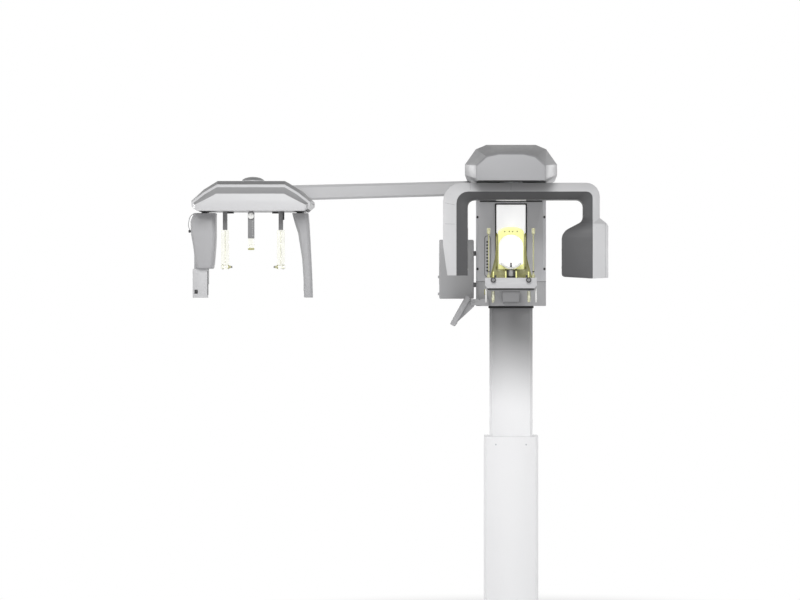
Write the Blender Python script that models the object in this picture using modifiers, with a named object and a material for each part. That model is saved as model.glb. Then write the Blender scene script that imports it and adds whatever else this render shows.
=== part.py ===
# Dental cone beam CT scanner with a cephalometric arm, at full size.
# Metres, +Z up, the viewer on the -Y side, the origin on the floor under the column's centre.
import math

import bmesh
import bpy
from mathutils import Matrix, Vector

# Clearances
SEAT = 0.0003        # between pieces that rest on or in each other
RUN = 0.0006         # between pieces that turn in each other

# Base and telescopic column
BASE_WIDTH = 0.92
BASE_BACK = 0.30
BASE_FRONT = 0.84
BASE_PLATE = 0.015
BASE_CORNER = 0.06
TOE_WIDTH = 0.17
FOOT_SIZE = 0.34
FOOT_PLATE = 0.012
LOWER_HALF = 0.1256      # half the lower column's width
LOWER_DEPTH = 0.120      # half its depth
LOWER_TOP = 0.914
COLLAR_HEIGHT = 0.016
COLLAR_LAP = 0.001
UPPER_HALF = 0.0997      # half the upper column's width
UPPER_DEPTH = 0.094
UPPER_BOTTOM = 0.62
UPPER_TOP = 2.148
COLUMN_WALL = 0.005
COLUMN_CHAMFER = 0.013
COLLAR_GAP = 0.0015
LIFT_DOWN = 0.58         # travel below the height in the photograph
LIFT_TUBE_RADIUS = 0.030
LIFT_ROD_RADIUS = 0.018
LIFT_TUBE_TOP = 0.77
LIFT_BRIDGE = 1.38
LIFT_MOTOR_RADIUS = 0.020
LIFT_MOTOR_X = 0.058
PAD_HEIGHT = 0.08

# Carriage
BODY_HALF = 0.161
BODY_FRONT = -0.150
BODY_BACK = 0.118
BODY_BOTTOM = 1.5324
BODY_TOP = 2.0805
BODY_CHAMFER = 0.014
BODY_CORNER = 0.030
BODY_CHAMFER_DEPTH = 0.012
COVER_SEAM = 1.645
GROOVE_LOW = 2.0102      # dark groove across the top of the front cover
GROOVE_HIGH = 2.0172
GROOVE_HALF = 0.144
GROOVE_DEPTH = 0.0025
WALL = 0.004
RIB = 0.004
MIRROR_HALF = 0.0672
MIRROR_LOW = 1.706
MIRROR_HIGH = 1.998
MIRROR_RIM = 0.0057
SCALE_X = -0.1076
SCALE_LOW = 1.665
SCALE_HIGH = 1.857
SCALE_HALF = 0.016
SCALE_HOLES = 10
SCALE_PITCH = 0.0147
SCALE_HOLE = 0.0034

# Head over the gantry
HEAD_BOTTOM = 2.084
HEAD_PLATE = 0.004
HEAD_TOP = 2.250
HEAD_FRONT = -0.850
ARM_HALF = 0.080
ARM_HEIGHT = 0.040
ARM_FRONT = -0.715
GANTRY_Y = -0.610        # the rotation axis stands at x = 0 here
HUB_BORE = 0.028
HUB_RADIUS = 0.050
RACE_RADIUS = 0.058
RING_RADIUS = 0.080
RING_HEIGHT = 0.028
PULLEY_RADIUS = 0.080
PULLEY_FLANGE = 0.005
PULLEY_LOW = 2.0925
PULLEY_HEIGHT = 0.020
MOTOR_Y = -0.395
MOTOR_PULLEY_RADIUS = 0.018
MOTOR_SHAFT = 0.006
MOTOR_RADIUS = 0.036
MOTOR_HEIGHT = 0.050
BELT = 0.002

# Gantry, all taken about its rotation axis
GANTRY_TOP = 2.079
RIDGE_TOP = 2.039
BEAM_BOTTOM = 2.005
LEFT_OUTER = -0.301
LEFT_OUTER_LOW = -0.282
LEFT_RIDGE = -0.241
LEFT_INNER = -0.193
LEFT_BOTTOM = 1.669
LEFT_TAPER = 1.8035
RIGHT_OUTER_HIGH = 0.393
RIGHT_OUTER = 0.430
RIGHT_RIDGE = 0.3606
RIGHT_INNER_HIGH = 0.320
RIGHT_INNER = 0.227
RIGHT_BOTTOM = 1.659
HOUSING_TOP = 1.923      # where the tube housing starts to widen
CORNER_LEFT = 0.085      # corner radii of the outer edge, the ridge and the inner edge
CORNER_RIGHT = 0.060
RIDGE_LEFT = 0.052
RIDGE_RIGHT = 0.027
CORNER_INNER = 0.030
CORNER_STEPS = 5
RIDGE_DROP = 0.003       # the ridge ends this much lower than the outer edge
SWING_TOP = 1.932        # where the inner edge starts its S
SWING_HIGH = 0.036       # its two radii and the slope between them, in degrees
SWING_LOW = 0.045
SWING_ANGLE = 62.0
FOOT_RADIUS = 0.014
OUTER_DEPTH = 0.078      # half depths across the arch
RIDGE_DEPTH = 0.110
INNER_DEPTH = 0.080
HOUSING_EXTRA = 0.018    # what the tube housing adds to each of them
FRAME_HALF = 0.014
FRAME_DEPTH = 0.022
DETECTOR_THICK = 0.026
DETECTOR_HALF = 0.073
DETECTOR_HEIGHT = 0.175
TUBE_TOP = 1.888
TUBE_LOW = 1.690
TUBE_DEPTH = 0.076
COLLIMATOR = 0.022

# Patient support
SUPPORT_Y = -0.565       # middle of the chin table
CHIN_ARM_TOP = 1.604
CHIN_ARM_LOW = 1.547
CHIN_ARM_HALF = 0.040
CHIN_ARM_HALF_LOW = 0.035
TABLE_HALF = 0.115
TABLE_DEPTH = 0.075
TABLE_LOW = 1.612
TABLE_TOP = 1.6588
TRAY_HALF = 0.101
POST_RADIUS = 0.012
POST_TOP = 1.698
POST_OFFSET = 0.010      # places on the table, from its middle, towards the column
POST_SOCKET = 0.026
BAND_OFFSET = 0.057
ROD_OFFSET = -0.043
CUP_RADIUS = 0.033
CUP_DEPTH = 0.026
FRAME_TOP = 1.889
BAND_HALF = 0.0667
BAND_FLARE = 0.0950
BAND_CROWN = 0.027        # radius of the upper corners
BAND_KNEE = 0.083         # heights above the table
BAND_SILL = 0.048
BAND_THICK = 0.004
BAND_FLANGE = 0.045
BAND_EDGE = 0.0112       # width of the plate beside its opening
ARCH_DROP = 0.081         # from the top of the plate to the middle of the arch
ARCH_FLATTEN = 0.76
ROD_X = 0.0995
ROD_RADIUS = 0.0028
ROD_TOP = 1.867
KNOB_X = 0.0785
KNOB_Z = 1.6488
KNOB_RADIUS = 0.0115
KNOB_SHAFT = 0.0045
KNOB_REACH = 0.022
GRIP_X = 0.080
GRIP_RADIUS = 0.0065
GRIP_DROP = 0.052
GRIP_SPAN = 0.034

# Touch panel
PANEL_PIVOT = Vector((-0.170, -0.270, 1.552))
PANEL_TILT = math.radians(29.4)
PANEL_LENGTH = 0.150
PANEL_WIDTH = 0.220
PANEL_THICK = 0.024
PANEL_OFFSET = 0.0194    # from the pivot to the back of the housing
PANEL_RISE = 0.010
PANEL_BORDER = 0.012
HINGE_HALF = 0.060
HINGE_PIN = 0.005
CHEEK = 0.010

# Side box
BOX_OUTER = -0.330
BOX_INNER = -0.1725
BOX_LOW = 1.566
BOX_HIGH = 1.837
BOX_FRONT = -0.145
BOX_BACK = -0.010
HOOK_HEIGHTS = (1.588, 1.666)
BOSS_HEIGHTS = (1.630, 1.775)
BOSS_RADIUS = 0.011

# Cephalometric arm
CEPH_X = -1.148
CEPH_Y = -0.610
BEAM_HALF_HEIGHT = 0.0335
BEAM_HALF_WIDTH = 0.035
BEAM_Z_COLUMN = 2.081
BEAM_Z_CEPH = 2.040
BEAM_CEPH_X = -1.060
BEAM_WALL = 0.005
CEPH_BACK = -0.455
CEPH_FRONT = -0.765
CEPH_TOP = 2.086
CEPH_SHOULDER = 2.048
CEPH_CORNER_HIGH = 1.997
CEPH_CORNER_LOW = 1.976
CEPH_BOTTOM = 1.953
CEPH_HALF_TOP = 0.149
CEPH_HALF_SHOULDER = 0.210
CEPH_HALF = 0.266
CEPH_HALF_BOTTOM = 0.240
CEPH_PLATE = 0.004
DOME_RADIUS = 0.052
DOME_HEIGHT = 0.022
LEG_TOP = 1.946
SENSOR_X = -1.360        # middle of the sensor leg
COLLIMATOR_X = -0.937    # middle of the collimator leg's top
LEG_DEPTH = 0.050
SENSOR_LEG_LOW = 1.699
CASSETTE_LEFT = -1.4150
CASSETTE_RIGHT = -1.3490
CASSETTE_LOW = 1.570
CASSETTE_HIGH = 1.780
SCAN_TRAVEL = 0.085
RAIL_RADIUS = 0.006
RAIL_Z = 1.985
NECK_HALF = 0.016
CHASSIS_HALF = 0.232
CHASSIS_Z = 2.012
TURNTABLE_RADIUS = 0.140
EAR_X = 0.124            # ear hangers, from the turntable's centre
EAR_HANGER_HALF = 0.0095
EAR_HANGER_LOW = 1.8715
EAR_BLADE_HALF = 0.0175
EAR_AXIS = 1.707
NASION_Y = -0.095        # from the turntable's centre
NASION_HALF = 0.0142
NASION_KNOB_Z = 1.932      # clears the turntable at the top of its travel

parts = None
cutters = None
materials = {}


def clear_scene():
    for obj in list(bpy.data.objects):
        bpy.data.objects.remove(obj)
    for old in list(bpy.data.collections):
        bpy.data.collections.remove(old)


def make_collection(name, hidden=False):
    made = bpy.data.collections.new(name)
    bpy.context.scene.collection.children.link(made)
    made.hide_render = hidden
    return made


def material(name, colour, roughness, metallic=0.0, alpha=1.0):
    made = bpy.data.materials.new(name)
    made.use_nodes = True
    shader = made.node_tree.nodes["Principled BSDF"]
    shader.inputs["Base Color"].default_value = (*colour, 1.0)
    shader.inputs["Roughness"].default_value = roughness
    shader.inputs["Metallic"].default_value = metallic
    shader.inputs["Alpha"].default_value = alpha
    made.diffuse_color = (*colour, alpha)
    materials[name] = made


def make_materials():
    material("shell_light", (0.72, 0.72, 0.73), 0.38)
    material("shell_grey", (0.36, 0.36, 0.37), 0.45)
    material("shell_dark", (0.09, 0.09, 0.095), 0.50)
    material("column_paint", (0.62, 0.62, 0.63), 0.35, 0.2)
    material("steel", (0.55, 0.56, 0.58), 0.35, 1.0)
    material("aluminium", (0.70, 0.71, 0.73), 0.40, 1.0)
    material("black", (0.015, 0.015, 0.016), 0.45)
    material("mirror", (0.92, 0.93, 0.94), 0.05, 1.0)
    material("amber", (0.80, 0.74, 0.16), 0.20, 0.0, 0.6)
    material("white", (0.86, 0.86, 0.85), 0.35)
    material("screen", (0.01, 0.012, 0.016), 0.08)
    material("rubber", (0.02, 0.02, 0.02), 0.8)


def finish(obj, name, finish_name, hidden=False):
    """Names the object, gives it its material and puts it in its collection."""
    obj.name = name
    if obj.data.materials:
        obj.data.materials.clear()
    obj.data.materials.append(materials[finish_name])
    home = cutters if hidden else parts
    for old in list(obj.users_collection):
        old.objects.unlink(obj)
    home.objects.link(obj)
    if hidden:
        obj.hide_render = True
        obj.display_type = "WIRE"
    return obj


def round_edges(obj, width, segments=2, angle=30.0):
    bevel = obj.modifiers.new("rounded_edges", "BEVEL")
    bevel.width = width
    bevel.segments = segments
    bevel.limit_method = "ANGLE"
    bevel.angle_limit = math.radians(angle)
    return obj


def from_bmesh(shape, name, finish_name, hidden=False):
    bmesh.ops.recalc_face_normals(shape, faces=shape.faces)
    mesh = bpy.data.meshes.new(name)
    shape.to_mesh(mesh)
    shape.free()
    return finish(bpy.data.objects.new(name, mesh), name, finish_name, hidden)


def box(name, finish_name, low, high, hidden=False):
    low = Vector(low)
    high = Vector(high)
    shape = bmesh.new()
    bmesh.ops.create_cube(shape, size=1.0)
    bmesh.ops.scale(shape, vec=high - low, verts=shape.verts)
    made = from_bmesh(shape, name, finish_name, hidden)
    made.location = (low + high) / 2
    return made


def cylinder(name, finish_name, radius, start, end, sides=24, hidden=False, end_radius=None):
    """A round bar from start to end."""
    start = Vector(start)
    end = Vector(end)
    shape = bmesh.new()
    bmesh.ops.create_cone(
        shape, cap_ends=True, segments=sides, radius1=radius,
        radius2=radius if end_radius is None else end_radius, depth=(end - start).length,
    )
    made = from_bmesh(shape, name, finish_name, hidden)
    made.location = (start + end) / 2
    made.rotation_euler = (end - start).to_track_quat("Z", "Y").to_euler()
    made.data.shade_smooth()
    made.data.set_sharp_from_angle(angle=math.radians(35))
    return made


def to_mesh(obj, name, finish_name, hidden=False):
    """The evaluated curve as a mesh object with welded caps."""
    bpy.context.view_layer.update()
    graph = bpy.context.evaluated_depsgraph_get()
    mesh = bpy.data.meshes.new_from_object(obj.evaluated_get(graph))
    place = obj.matrix_world.copy()
    bpy.data.objects.remove(obj)
    shape = bmesh.new()
    shape.from_mesh(mesh)
    bmesh.ops.remove_doubles(shape, verts=shape.verts, dist=1e-6)
    bmesh.ops.recalc_face_normals(shape, faces=shape.faces)
    shape.to_mesh(mesh)
    shape.free()
    made = bpy.data.objects.new(name, mesh)
    made.matrix_world = place
    return finish(made, name, finish_name, hidden)


TURNS = {
    "Z": (0.0, 0.0, 0.0),
    "Y": (math.pi / 2, 0.0, 0.0),
    "X": (math.pi / 2, 0.0, math.pi / 2),
}


def plate(name, finish_name, outlines, axis, start, end, hidden=False):
    """Flat outlines, holes included, extruded along an axis. The outlines are in (x, y) for
    axis Z, (x, z) for axis Y and (y, z) for axis X."""
    curve = bpy.data.curves.new(name, "CURVE")
    curve.dimensions = "2D"
    curve.fill_mode = "BOTH"
    curve.extrude = (end - start) / 2
    for outline in outlines:
        spline = curve.splines.new("POLY")
        spline.points.add(len(outline) - 1)
        for point, (across, up) in zip(spline.points, outline):
            point.co = (across, up, 0.0, 1.0)
        spline.use_cyclic_u = True
    flat = bpy.data.objects.new(name, curve)
    parts.objects.link(flat)
    flat.rotation_euler = TURNS[axis]
    middle = (start + end) / 2
    flat.location = {"Z": (0, 0, middle), "Y": (0, middle, 0), "X": (middle, 0, 0)}[axis]
    return to_mesh(flat, name, finish_name, hidden)


def turned(name, finish_name, profile, place, steps=32, closed=False, axis="Z", hidden=False):
    """A turned piece. The profile's (radius, height) points run down its outer side; a closed
    profile makes a ring."""
    mesh = bpy.data.meshes.new(name)
    count = len(profile)
    edges = [(i, i + 1) for i in range(count - 1)]
    if closed:
        edges.append((count - 1, 0))
    mesh.from_pydata([(radius, 0.0, height) for radius, height in profile], edges, [])
    made = finish(bpy.data.objects.new(name, mesh), name, finish_name, hidden)
    made.location = place
    if axis == "Y":
        made.rotation_euler = (math.pi / 2, 0.0, 0.0)
    if axis == "X":
        made.rotation_euler = (0.0, math.pi / 2, 0.0)
    screw = made.modifiers.new("turned", "SCREW")
    screw.steps = steps
    screw.render_steps = steps
    screw.use_merge_vertices = True
    screw.merge_threshold = 0.00001
    screw.use_smooth_shade = True
    return made


def tube(name, finish_name, points, radius, resolution=2):
    """A bent round bar along its middle line."""
    curve = bpy.data.curves.new(name, "CURVE")
    curve.dimensions = "3D"
    curve.bevel_depth = radius
    curve.bevel_resolution = resolution
    curve.use_fill_caps = True
    spline = curve.splines.new("POLY")
    spline.points.add(len(points) - 1)
    for point, place in zip(spline.points, points):
        point.co = (*place, 1.0)
    return finish(bpy.data.objects.new(name, curve), name, finish_name)


def loft(name, finish_name, rings, hidden=False):
    """A closed solid through rings that have the same number of points."""
    shape = bmesh.new()
    made_rings = [[shape.verts.new(point) for point in ring] for ring in rings]
    for ring, following in zip(made_rings, made_rings[1:]):
        count = len(ring)
        for i in range(count):
            j = (i + 1) % count
            shape.faces.new((ring[i], ring[j], following[j], following[i]))
    shape.faces.new(made_rings[0])
    shape.faces.new(made_rings[-1])
    return from_bmesh(shape, name, finish_name, hidden)


def cut(obj, cutter, operation="DIFFERENCE"):
    change = obj.modifiers.new(cutter.name, "BOOLEAN")
    change.operation = operation
    change.solver = "EXACT"
    change.object = cutter
    return obj


def join(obj, other):
    """Adds a helper shape to the object with a Boolean union."""
    return cut(obj, other, "UNION")


def pivot(name, place, *carried):
    """An empty on a joint's axis, which carries the moving pieces."""
    empty = bpy.data.objects.new(name, None)
    empty.empty_display_size = 0.05
    parts.objects.link(empty)
    empty.location = place
    for obj in carried:
        obj.parent = empty
        obj.matrix_parent_inverse = Matrix.Translation(place).inverted()
    return empty


def arc(centre, radius, first, last, steps):
    """Points of a circular arc, angles in degrees."""
    angles = [math.radians(first + (last - first) * i / steps) for i in range(steps + 1)]
    return [(centre[0] + radius * math.cos(a), centre[1] + radius * math.sin(a)) for a in angles]


def circle(centre, radius, sides=24):
    return arc(centre, radius, 0.0, 360.0 * (sides - 1) / sides, sides - 1)


def chamfered(half_x, half_y, chamfer, middle=(0.0, 0.0)):
    """A rectangle with cut corners, counter-clockwise."""
    x, y = middle
    return [
        (x + half_x, y - half_y + chamfer), (x + half_x, y + half_y - chamfer),
        (x + half_x - chamfer, y + half_y), (x - half_x + chamfer, y + half_y),
        (x - half_x, y + half_y - chamfer), (x - half_x, y - half_y + chamfer),
        (x - half_x + chamfer, y - half_y), (x + half_x - chamfer, y - half_y),
    ]


def rounded(low, high, radius, steps=3):
    """A rectangle with round corners, counter-clockwise."""
    (x0, y0), (x1, y1) = low, high
    return (
        arc((x1 - radius, y0 + radius), radius, 270, 360, steps)
        + arc((x1 - radius, y1 - radius), radius, 0, 90, steps)
        + arc((x0 + radius, y1 - radius), radius, 90, 180, steps)
        + arc((x0 + radius, y0 + radius), radius, 180, 270, steps)
    )


def mirrored(outline):
    """The half outline with its reflection across x = 0."""
    return outline + [(-x, z) for x, z in reversed(outline)]


# Base


def build_base():
    half = BASE_WIDTH / 2
    inner = half - TOE_WIDTH
    heel = -FOOT_SIZE / 2 - 0.02
    corner = BASE_CORNER
    right = (
        arc((half - corner, BASE_BACK - corner), corner, 90, 0, 4)
        + arc((half - corner / 2, -BASE_FRONT + corner / 2), corner / 2, 0, -90, 3)
        + arc((inner + corner / 2, -BASE_FRONT + corner / 2), corner / 2, -90, -180, 3)
        + arc((inner - corner, heel - corner), corner, 0, 90, 4)
    )
    base = plate("base_plate", "column_paint", [mirrored(right)], "Z", 0.0, BASE_PLATE)
    round_edges(base, 0.003, 1, 60)

    foot_low = BASE_PLATE + SEAT
    outer = chamfered(LOWER_HALF, LOWER_DEPTH, COLUMN_CHAMFER)
    inner = chamfered(LOWER_HALF - COLUMN_WALL, LOWER_DEPTH - COLUMN_WALL, COLUMN_CHAMFER)
    column = plate("lower_column", "column_paint", [outer, inner], "Z", foot_low, LOWER_TOP)
    reach = FOOT_SIZE / 2
    flange = plate(
        "foot_flange", "column_paint", [rounded((-reach, -reach), (reach, reach), 0.02, 2)],
        "Z", foot_low, foot_low + FOOT_PLATE, hidden=True,
    )
    join(column, flange)
    entry = box(
        "inlet_hole", "black", (-0.060, LOWER_DEPTH - 0.02, 0.100),
        (0.060, LOWER_DEPTH + 0.02, 0.150), hidden=True,
    )
    cut(column, entry)

    hole = chamfered(UPPER_HALF + COLLAR_GAP, UPPER_DEPTH + COLLAR_GAP, COLUMN_CHAMFER)
    collar = plate(
        "column_collar", "column_paint", [outer, hole], "Z", LOWER_TOP - COLLAR_LAP,
        LOWER_TOP + COLLAR_HEIGHT, hidden=True,
    )
    join(column, collar)
    build_inlet()


def build_inlet():
    """Mains inlet and rocker switch on a small plate in the column's back."""
    face = LOWER_DEPTH - COLUMN_WALL
    low = 0.100 + SEAT
    high = 0.150 - SEAT
    socket = box("mains_inlet", "black", (-0.060 + SEAT, face, low), (0.060 - SEAT, face + 0.007, high))
    well = box("inlet_well", "black", (-0.048, face + 0.001, 0.112), (-0.006, face + 0.02, 0.138),
        hidden=True)
    cut(socket, well)
    pocket = box("switch_well", "black", (0.0150 - SEAT, face + 0.0006, 0.110),
        (0.0450 + SEAT, face + 0.02, 0.140), hidden=True)
    cut(socket, pocket)
    middle = 0.125
    outline = [
        (face + 0.0032, middle - 0.0130), (face + 0.0105, middle - 0.0130),
        (face + 0.0082, middle), (face + 0.0085, middle + 0.0130), (face + 0.0032, middle + 0.0130),
    ]
    rocker = plate("mains_switch", "rubber", [outline], "X", 0.0150, 0.0450)
    pivot("mains_switch_axis", (0.030, face + 0.0045, middle), rocker)


def build_column():
    bore_x = LOWER_HALF - COLUMN_WALL - SEAT
    bore_y = LOWER_DEPTH - COLUMN_WALL - SEAT
    glide = chamfered(bore_x, bore_y, COLUMN_CHAMFER)
    pad_top = LOWER_TOP - COLLAR_LAP - SEAT
    plate(
        "upper_glide_ring", "white", [glide, chamfered(UPPER_HALF + SEAT, UPPER_DEPTH + SEAT,
        COLUMN_CHAMFER)],
        "Z", pad_top - PAD_HEIGHT, pad_top,
    )
    outer = chamfered(UPPER_HALF, UPPER_DEPTH, COLUMN_CHAMFER)
    inner = chamfered(UPPER_HALF - COLUMN_WALL, UPPER_DEPTH - COLUMN_WALL, COLUMN_CHAMFER)
    column = plate("upper_column", "column_paint", [outer, inner], "Z", UPPER_BOTTOM, UPPER_TOP)
    half_wall = chamfered(UPPER_HALF - COLUMN_WALL / 2, UPPER_DEPTH - COLUMN_WALL / 2, COLUMN_CHAMFER)
    join(column, plate(
        "lower_glide_ring", "white", [glide, half_wall], "Z", UPPER_BOTTOM + 0.002,
        UPPER_BOTTOM + 0.002 + PAD_HEIGHT,
        hidden=True,
    ))

    floor = BASE_PLATE + SEAT + FOOT_PLATE + SEAT
    bore = LIFT_ROD_RADIUS + RUN
    actuator = turned(
        "lift_actuator", "aluminium",
        [
            (bore, LIFT_TUBE_TOP), (LIFT_TUBE_RADIUS, LIFT_TUBE_TOP), (LIFT_TUBE_RADIUS, floor + 0.09),
            (LIFT_TUBE_RADIUS + 0.012, floor + 0.08), (LIFT_TUBE_RADIUS + 0.012, floor),
            (0.0, floor), (0.0, floor + 0.012), (bore, floor + 0.012),
        ],
        (0.0, 0.0, 0.0), steps=20, closed=True,
    )
    gear_motor = cylinder(
        "lift_motor", "black", LIFT_MOTOR_RADIUS, (LIFT_MOTOR_X, 0.0, floor),
        (LIFT_MOTOR_X, 0.0, floor + 0.13), 20,
        hidden=True,
    )
    join(actuator, gear_motor)
    rod_low = floor + 0.014 + LIFT_DOWN
    rod = cylinder(
        "lift_rod", "steel", LIFT_ROD_RADIUS, (0, 0, rod_low), (0, 0, LIFT_BRIDGE - SEAT), sides=20,
    )
    bridge = plate("lift_bridge", "steel", [half_wall], "Z", LIFT_BRIDGE, LIFT_BRIDGE + 0.02, hidden=True)
    join(column, bridge)


# Carriage


def front_profile():
    """Plan outline of the front covers: a shallow channel with cut edges."""
    back = BODY_FRONT + BODY_CHAMFER_DEPTH + WALL
    outer = [
        (BODY_HALF, back), (BODY_HALF, BODY_FRONT + BODY_CHAMFER_DEPTH),
        (BODY_HALF - BODY_CHAMFER, BODY_FRONT),
    ]
    inner = [
        (BODY_HALF - BODY_CHAMFER - WALL * 0.6, BODY_FRONT + WALL),
        (BODY_HALF - WALL, BODY_FRONT + BODY_CHAMFER_DEPTH + WALL * 0.6), (BODY_HALF - WALL, back),
    ]
    left_outer = [(-x, y) for x, y in reversed(outer)]
    left_inner = [(-x, y) for x, y in reversed(inner)]
    return outer + left_outer + left_inner + inner


def build_carriage():
    profile = front_profile()
    seam_y = BODY_FRONT + BODY_CHAMFER_DEPTH + WALL
    outer = [(BODY_HALF, seam_y + SEAT)] + arc(
        (BODY_HALF - BODY_CORNER, BODY_BACK - BODY_CORNER), BODY_CORNER, 0, 90, 4
    )
    inner = [(BODY_HALF - WALL, seam_y + SEAT)] + arc(
        (BODY_HALF - BODY_CORNER, BODY_BACK - BODY_CORNER), BODY_CORNER - WALL, 0, 90, 4
    )
    outline = (
        outer + [(-x, y) for x, y in reversed(outer)] + [(-x, y) for x, y in inner]
        + list(reversed(inner))
    )
    back = plate("carriage_back_cover", "shell_grey", [outline], "Z", BODY_BOTTOM, BODY_TOP)
    hole = chamfered(UPPER_HALF + SEAT, UPPER_DEPTH + SEAT, COLUMN_CHAMFER)
    for name, low in (("bottom_rib", BODY_BOTTOM + 0.002), ("middle_rib", COVER_SEAM - 0.011),
        ("top_rib", GROOVE_HIGH + 0.020)):
        join(back, plate(name, "steel", [rib_outline(), hole], "Z", low, low + RIB, hidden=True))
    cut(back, beam_notch("back_notch"))

    front = plate("carriage_front_cover", "shell_grey", [profile], "Z", COVER_SEAM + SEAT, BODY_TOP)
    cut(front, box(
        "top_groove", "black", (-GROOVE_HALF, BODY_FRONT - 0.01, GROOVE_LOW),
        (GROOVE_HALF, BODY_FRONT + GROOVE_DEPTH, GROOVE_HIGH), hidden=True,
    ))
    window_half = MIRROR_HALF + MIRROR_RIM + SEAT
    window_low = MIRROR_LOW - MIRROR_RIM - SEAT
    window_high = MIRROR_HIGH + MIRROR_RIM + SEAT
    deep = BODY_FRONT + 0.03
    cut(front, box(
        "mirror_window", "black", (-window_half, BODY_FRONT - 0.01, window_low),
        (window_half, deep, window_high), hidden=True,
    ))
    obround = rounded(
        (SCALE_X - SCALE_HALF, SCALE_LOW), (SCALE_X + SCALE_HALF, SCALE_HIGH), SCALE_HALF - 1e-4, 4,
    )
    cut(front, plate("scale_window", "black", [obround], "Y", BODY_FRONT - 0.01, deep, hidden=True))
    lower = plate("carriage_lower_cover", "shell_grey", [profile], "Z", BODY_BOTTOM, COVER_SEAM)
    opening = plate(
        "arm_hole", "black",
        [[(-CHIN_ARM_HALF_LOW - 0.001, CHIN_ARM_LOW - 0.001),
            (CHIN_ARM_HALF_LOW + 0.001, CHIN_ARM_LOW - 0.001),
          (CHIN_ARM_HALF + 0.001, CHIN_ARM_TOP + 0.001), (-CHIN_ARM_HALF - 0.001, CHIN_ARM_TOP + 0.001)]],
        "Y", BODY_FRONT - 0.01, deep, hidden=True,
    )
    cut(lower, opening)

    rim_outer = [(-window_half + SEAT, window_low + SEAT), (window_half - SEAT, window_low + SEAT),
                 (window_half - SEAT, window_high - SEAT), (-window_half + SEAT, window_high - SEAT)]
    rim_hole = [(-MIRROR_HALF, MIRROR_LOW), (MIRROR_HALF, MIRROR_LOW),
                (MIRROR_HALF, MIRROR_HIGH), (-MIRROR_HALF, MIRROR_HIGH)]
    plate("mirror_frame", "shell_dark", [rim_outer, rim_hole], "Y", BODY_FRONT - 0.0015, BODY_FRONT + 0.008)
    box(
        "mirror", "mirror", (-MIRROR_HALF + SEAT, BODY_FRONT + 0.001, MIRROR_LOW + SEAT),
        (MIRROR_HALF - SEAT, BODY_FRONT + 0.006, MIRROR_HIGH - SEAT),
    )
    build_scale()


def build_scale():
    """The obround panel with its column of holes."""
    shrink = SEAT
    outline = rounded(
        (SCALE_X - SCALE_HALF + shrink, SCALE_LOW + shrink),
        (SCALE_X + SCALE_HALF - shrink, SCALE_HIGH - shrink), SCALE_HALF - shrink - 1e-4, 4,
    )
    middle = (SCALE_LOW + SCALE_HIGH) / 2
    first = middle - SCALE_PITCH * (SCALE_HOLES - 1) / 2
    holes = [
        circle((SCALE_X, first + SCALE_PITCH * i), SCALE_HOLE, 8) for i in range(SCALE_HOLES)
    ]
    plate(
        "speaker_panel", "shell_dark", [outline] + holes, "Y", BODY_FRONT + 0.0015, BODY_FRONT + 0.0045,
    )


def rib_outline():
    """Plan outline of the plates that hold the back cover on the column."""
    front = BODY_FRONT + BODY_CHAMFER_DEPTH + WALL + 0.006
    corner = (BODY_HALF - BODY_CORNER, BODY_BACK - BODY_CORNER)
    return mirrored([(BODY_HALF - WALL / 2, front)] + arc(corner, BODY_CORNER - WALL / 2, 0, 90, 4))


# Head with the rotation drive


def head_section(y, grow, bottom, waist, flank_low, flank_high, shoulder, shoulder_z, top, top_z):
    """One cross-section of the head cover, as half widths and heights; grow moves it outwards."""
    half = [
        (bottom + grow, HEAD_BOTTOM), (waist + grow, flank_low), (waist + grow, flank_high),
        (shoulder + grow, shoulder_z + grow), (top + grow * 0.5, top_z + grow),
    ]
    if grow < 0:
        half[0] = (bottom + grow, HEAD_BOTTOM + 0.0005)
        half.insert(0, (bottom + grow, HEAD_BOTTOM - 0.01))
    return [(x, y, z) for x, z in mirrored(half)]


HEAD_SECTIONS = [
    # y from the front, bottom half, waist half, flank low and high, shoulder half and height,
    # top half and height
    (0.000, 0.146, 0.148, 2.094, 2.144, 0.105, 2.184, 0.055, 2.196),
    (0.006, 0.151, 0.153, 2.092, 2.150, 0.110, 2.190, 0.060, 2.203),
    (0.160, 0.156, 0.204, 2.114, 2.159, 0.156, 2.227, 0.109, 2.246),
    (0.230, 0.156, 0.2045, 2.114, 2.160, 0.157, 2.229, 0.110, HEAD_TOP),
    (0.930, 0.156, 0.2045, 2.114, 2.160, 0.157, 2.229, 0.110, HEAD_TOP),
    (1.000, 0.150, 0.180, 2.112, 2.156, 0.140, 2.208, 0.095, 2.226),
    (1.015, 0.140, 0.165, 2.108, 2.152, 0.130, 2.196, 0.085, 2.212),
]


def head_loft(name, grow, hidden=False):
    sections = []
    last = HEAD_SECTIONS[-1][0]
    for place, *sizes in HEAD_SECTIONS:
        y = HEAD_FRONT + place
        if grow < 0:
            y = min(max(y, HEAD_FRONT - grow), HEAD_FRONT + last + grow)
        sections.append(head_section(y, grow, *sizes))
    if grow < 0:
        sections = [sections[0]] + sections[2:-2] + [sections[-1]]
    return loft(name, "shell_grey", sections, hidden)


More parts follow.
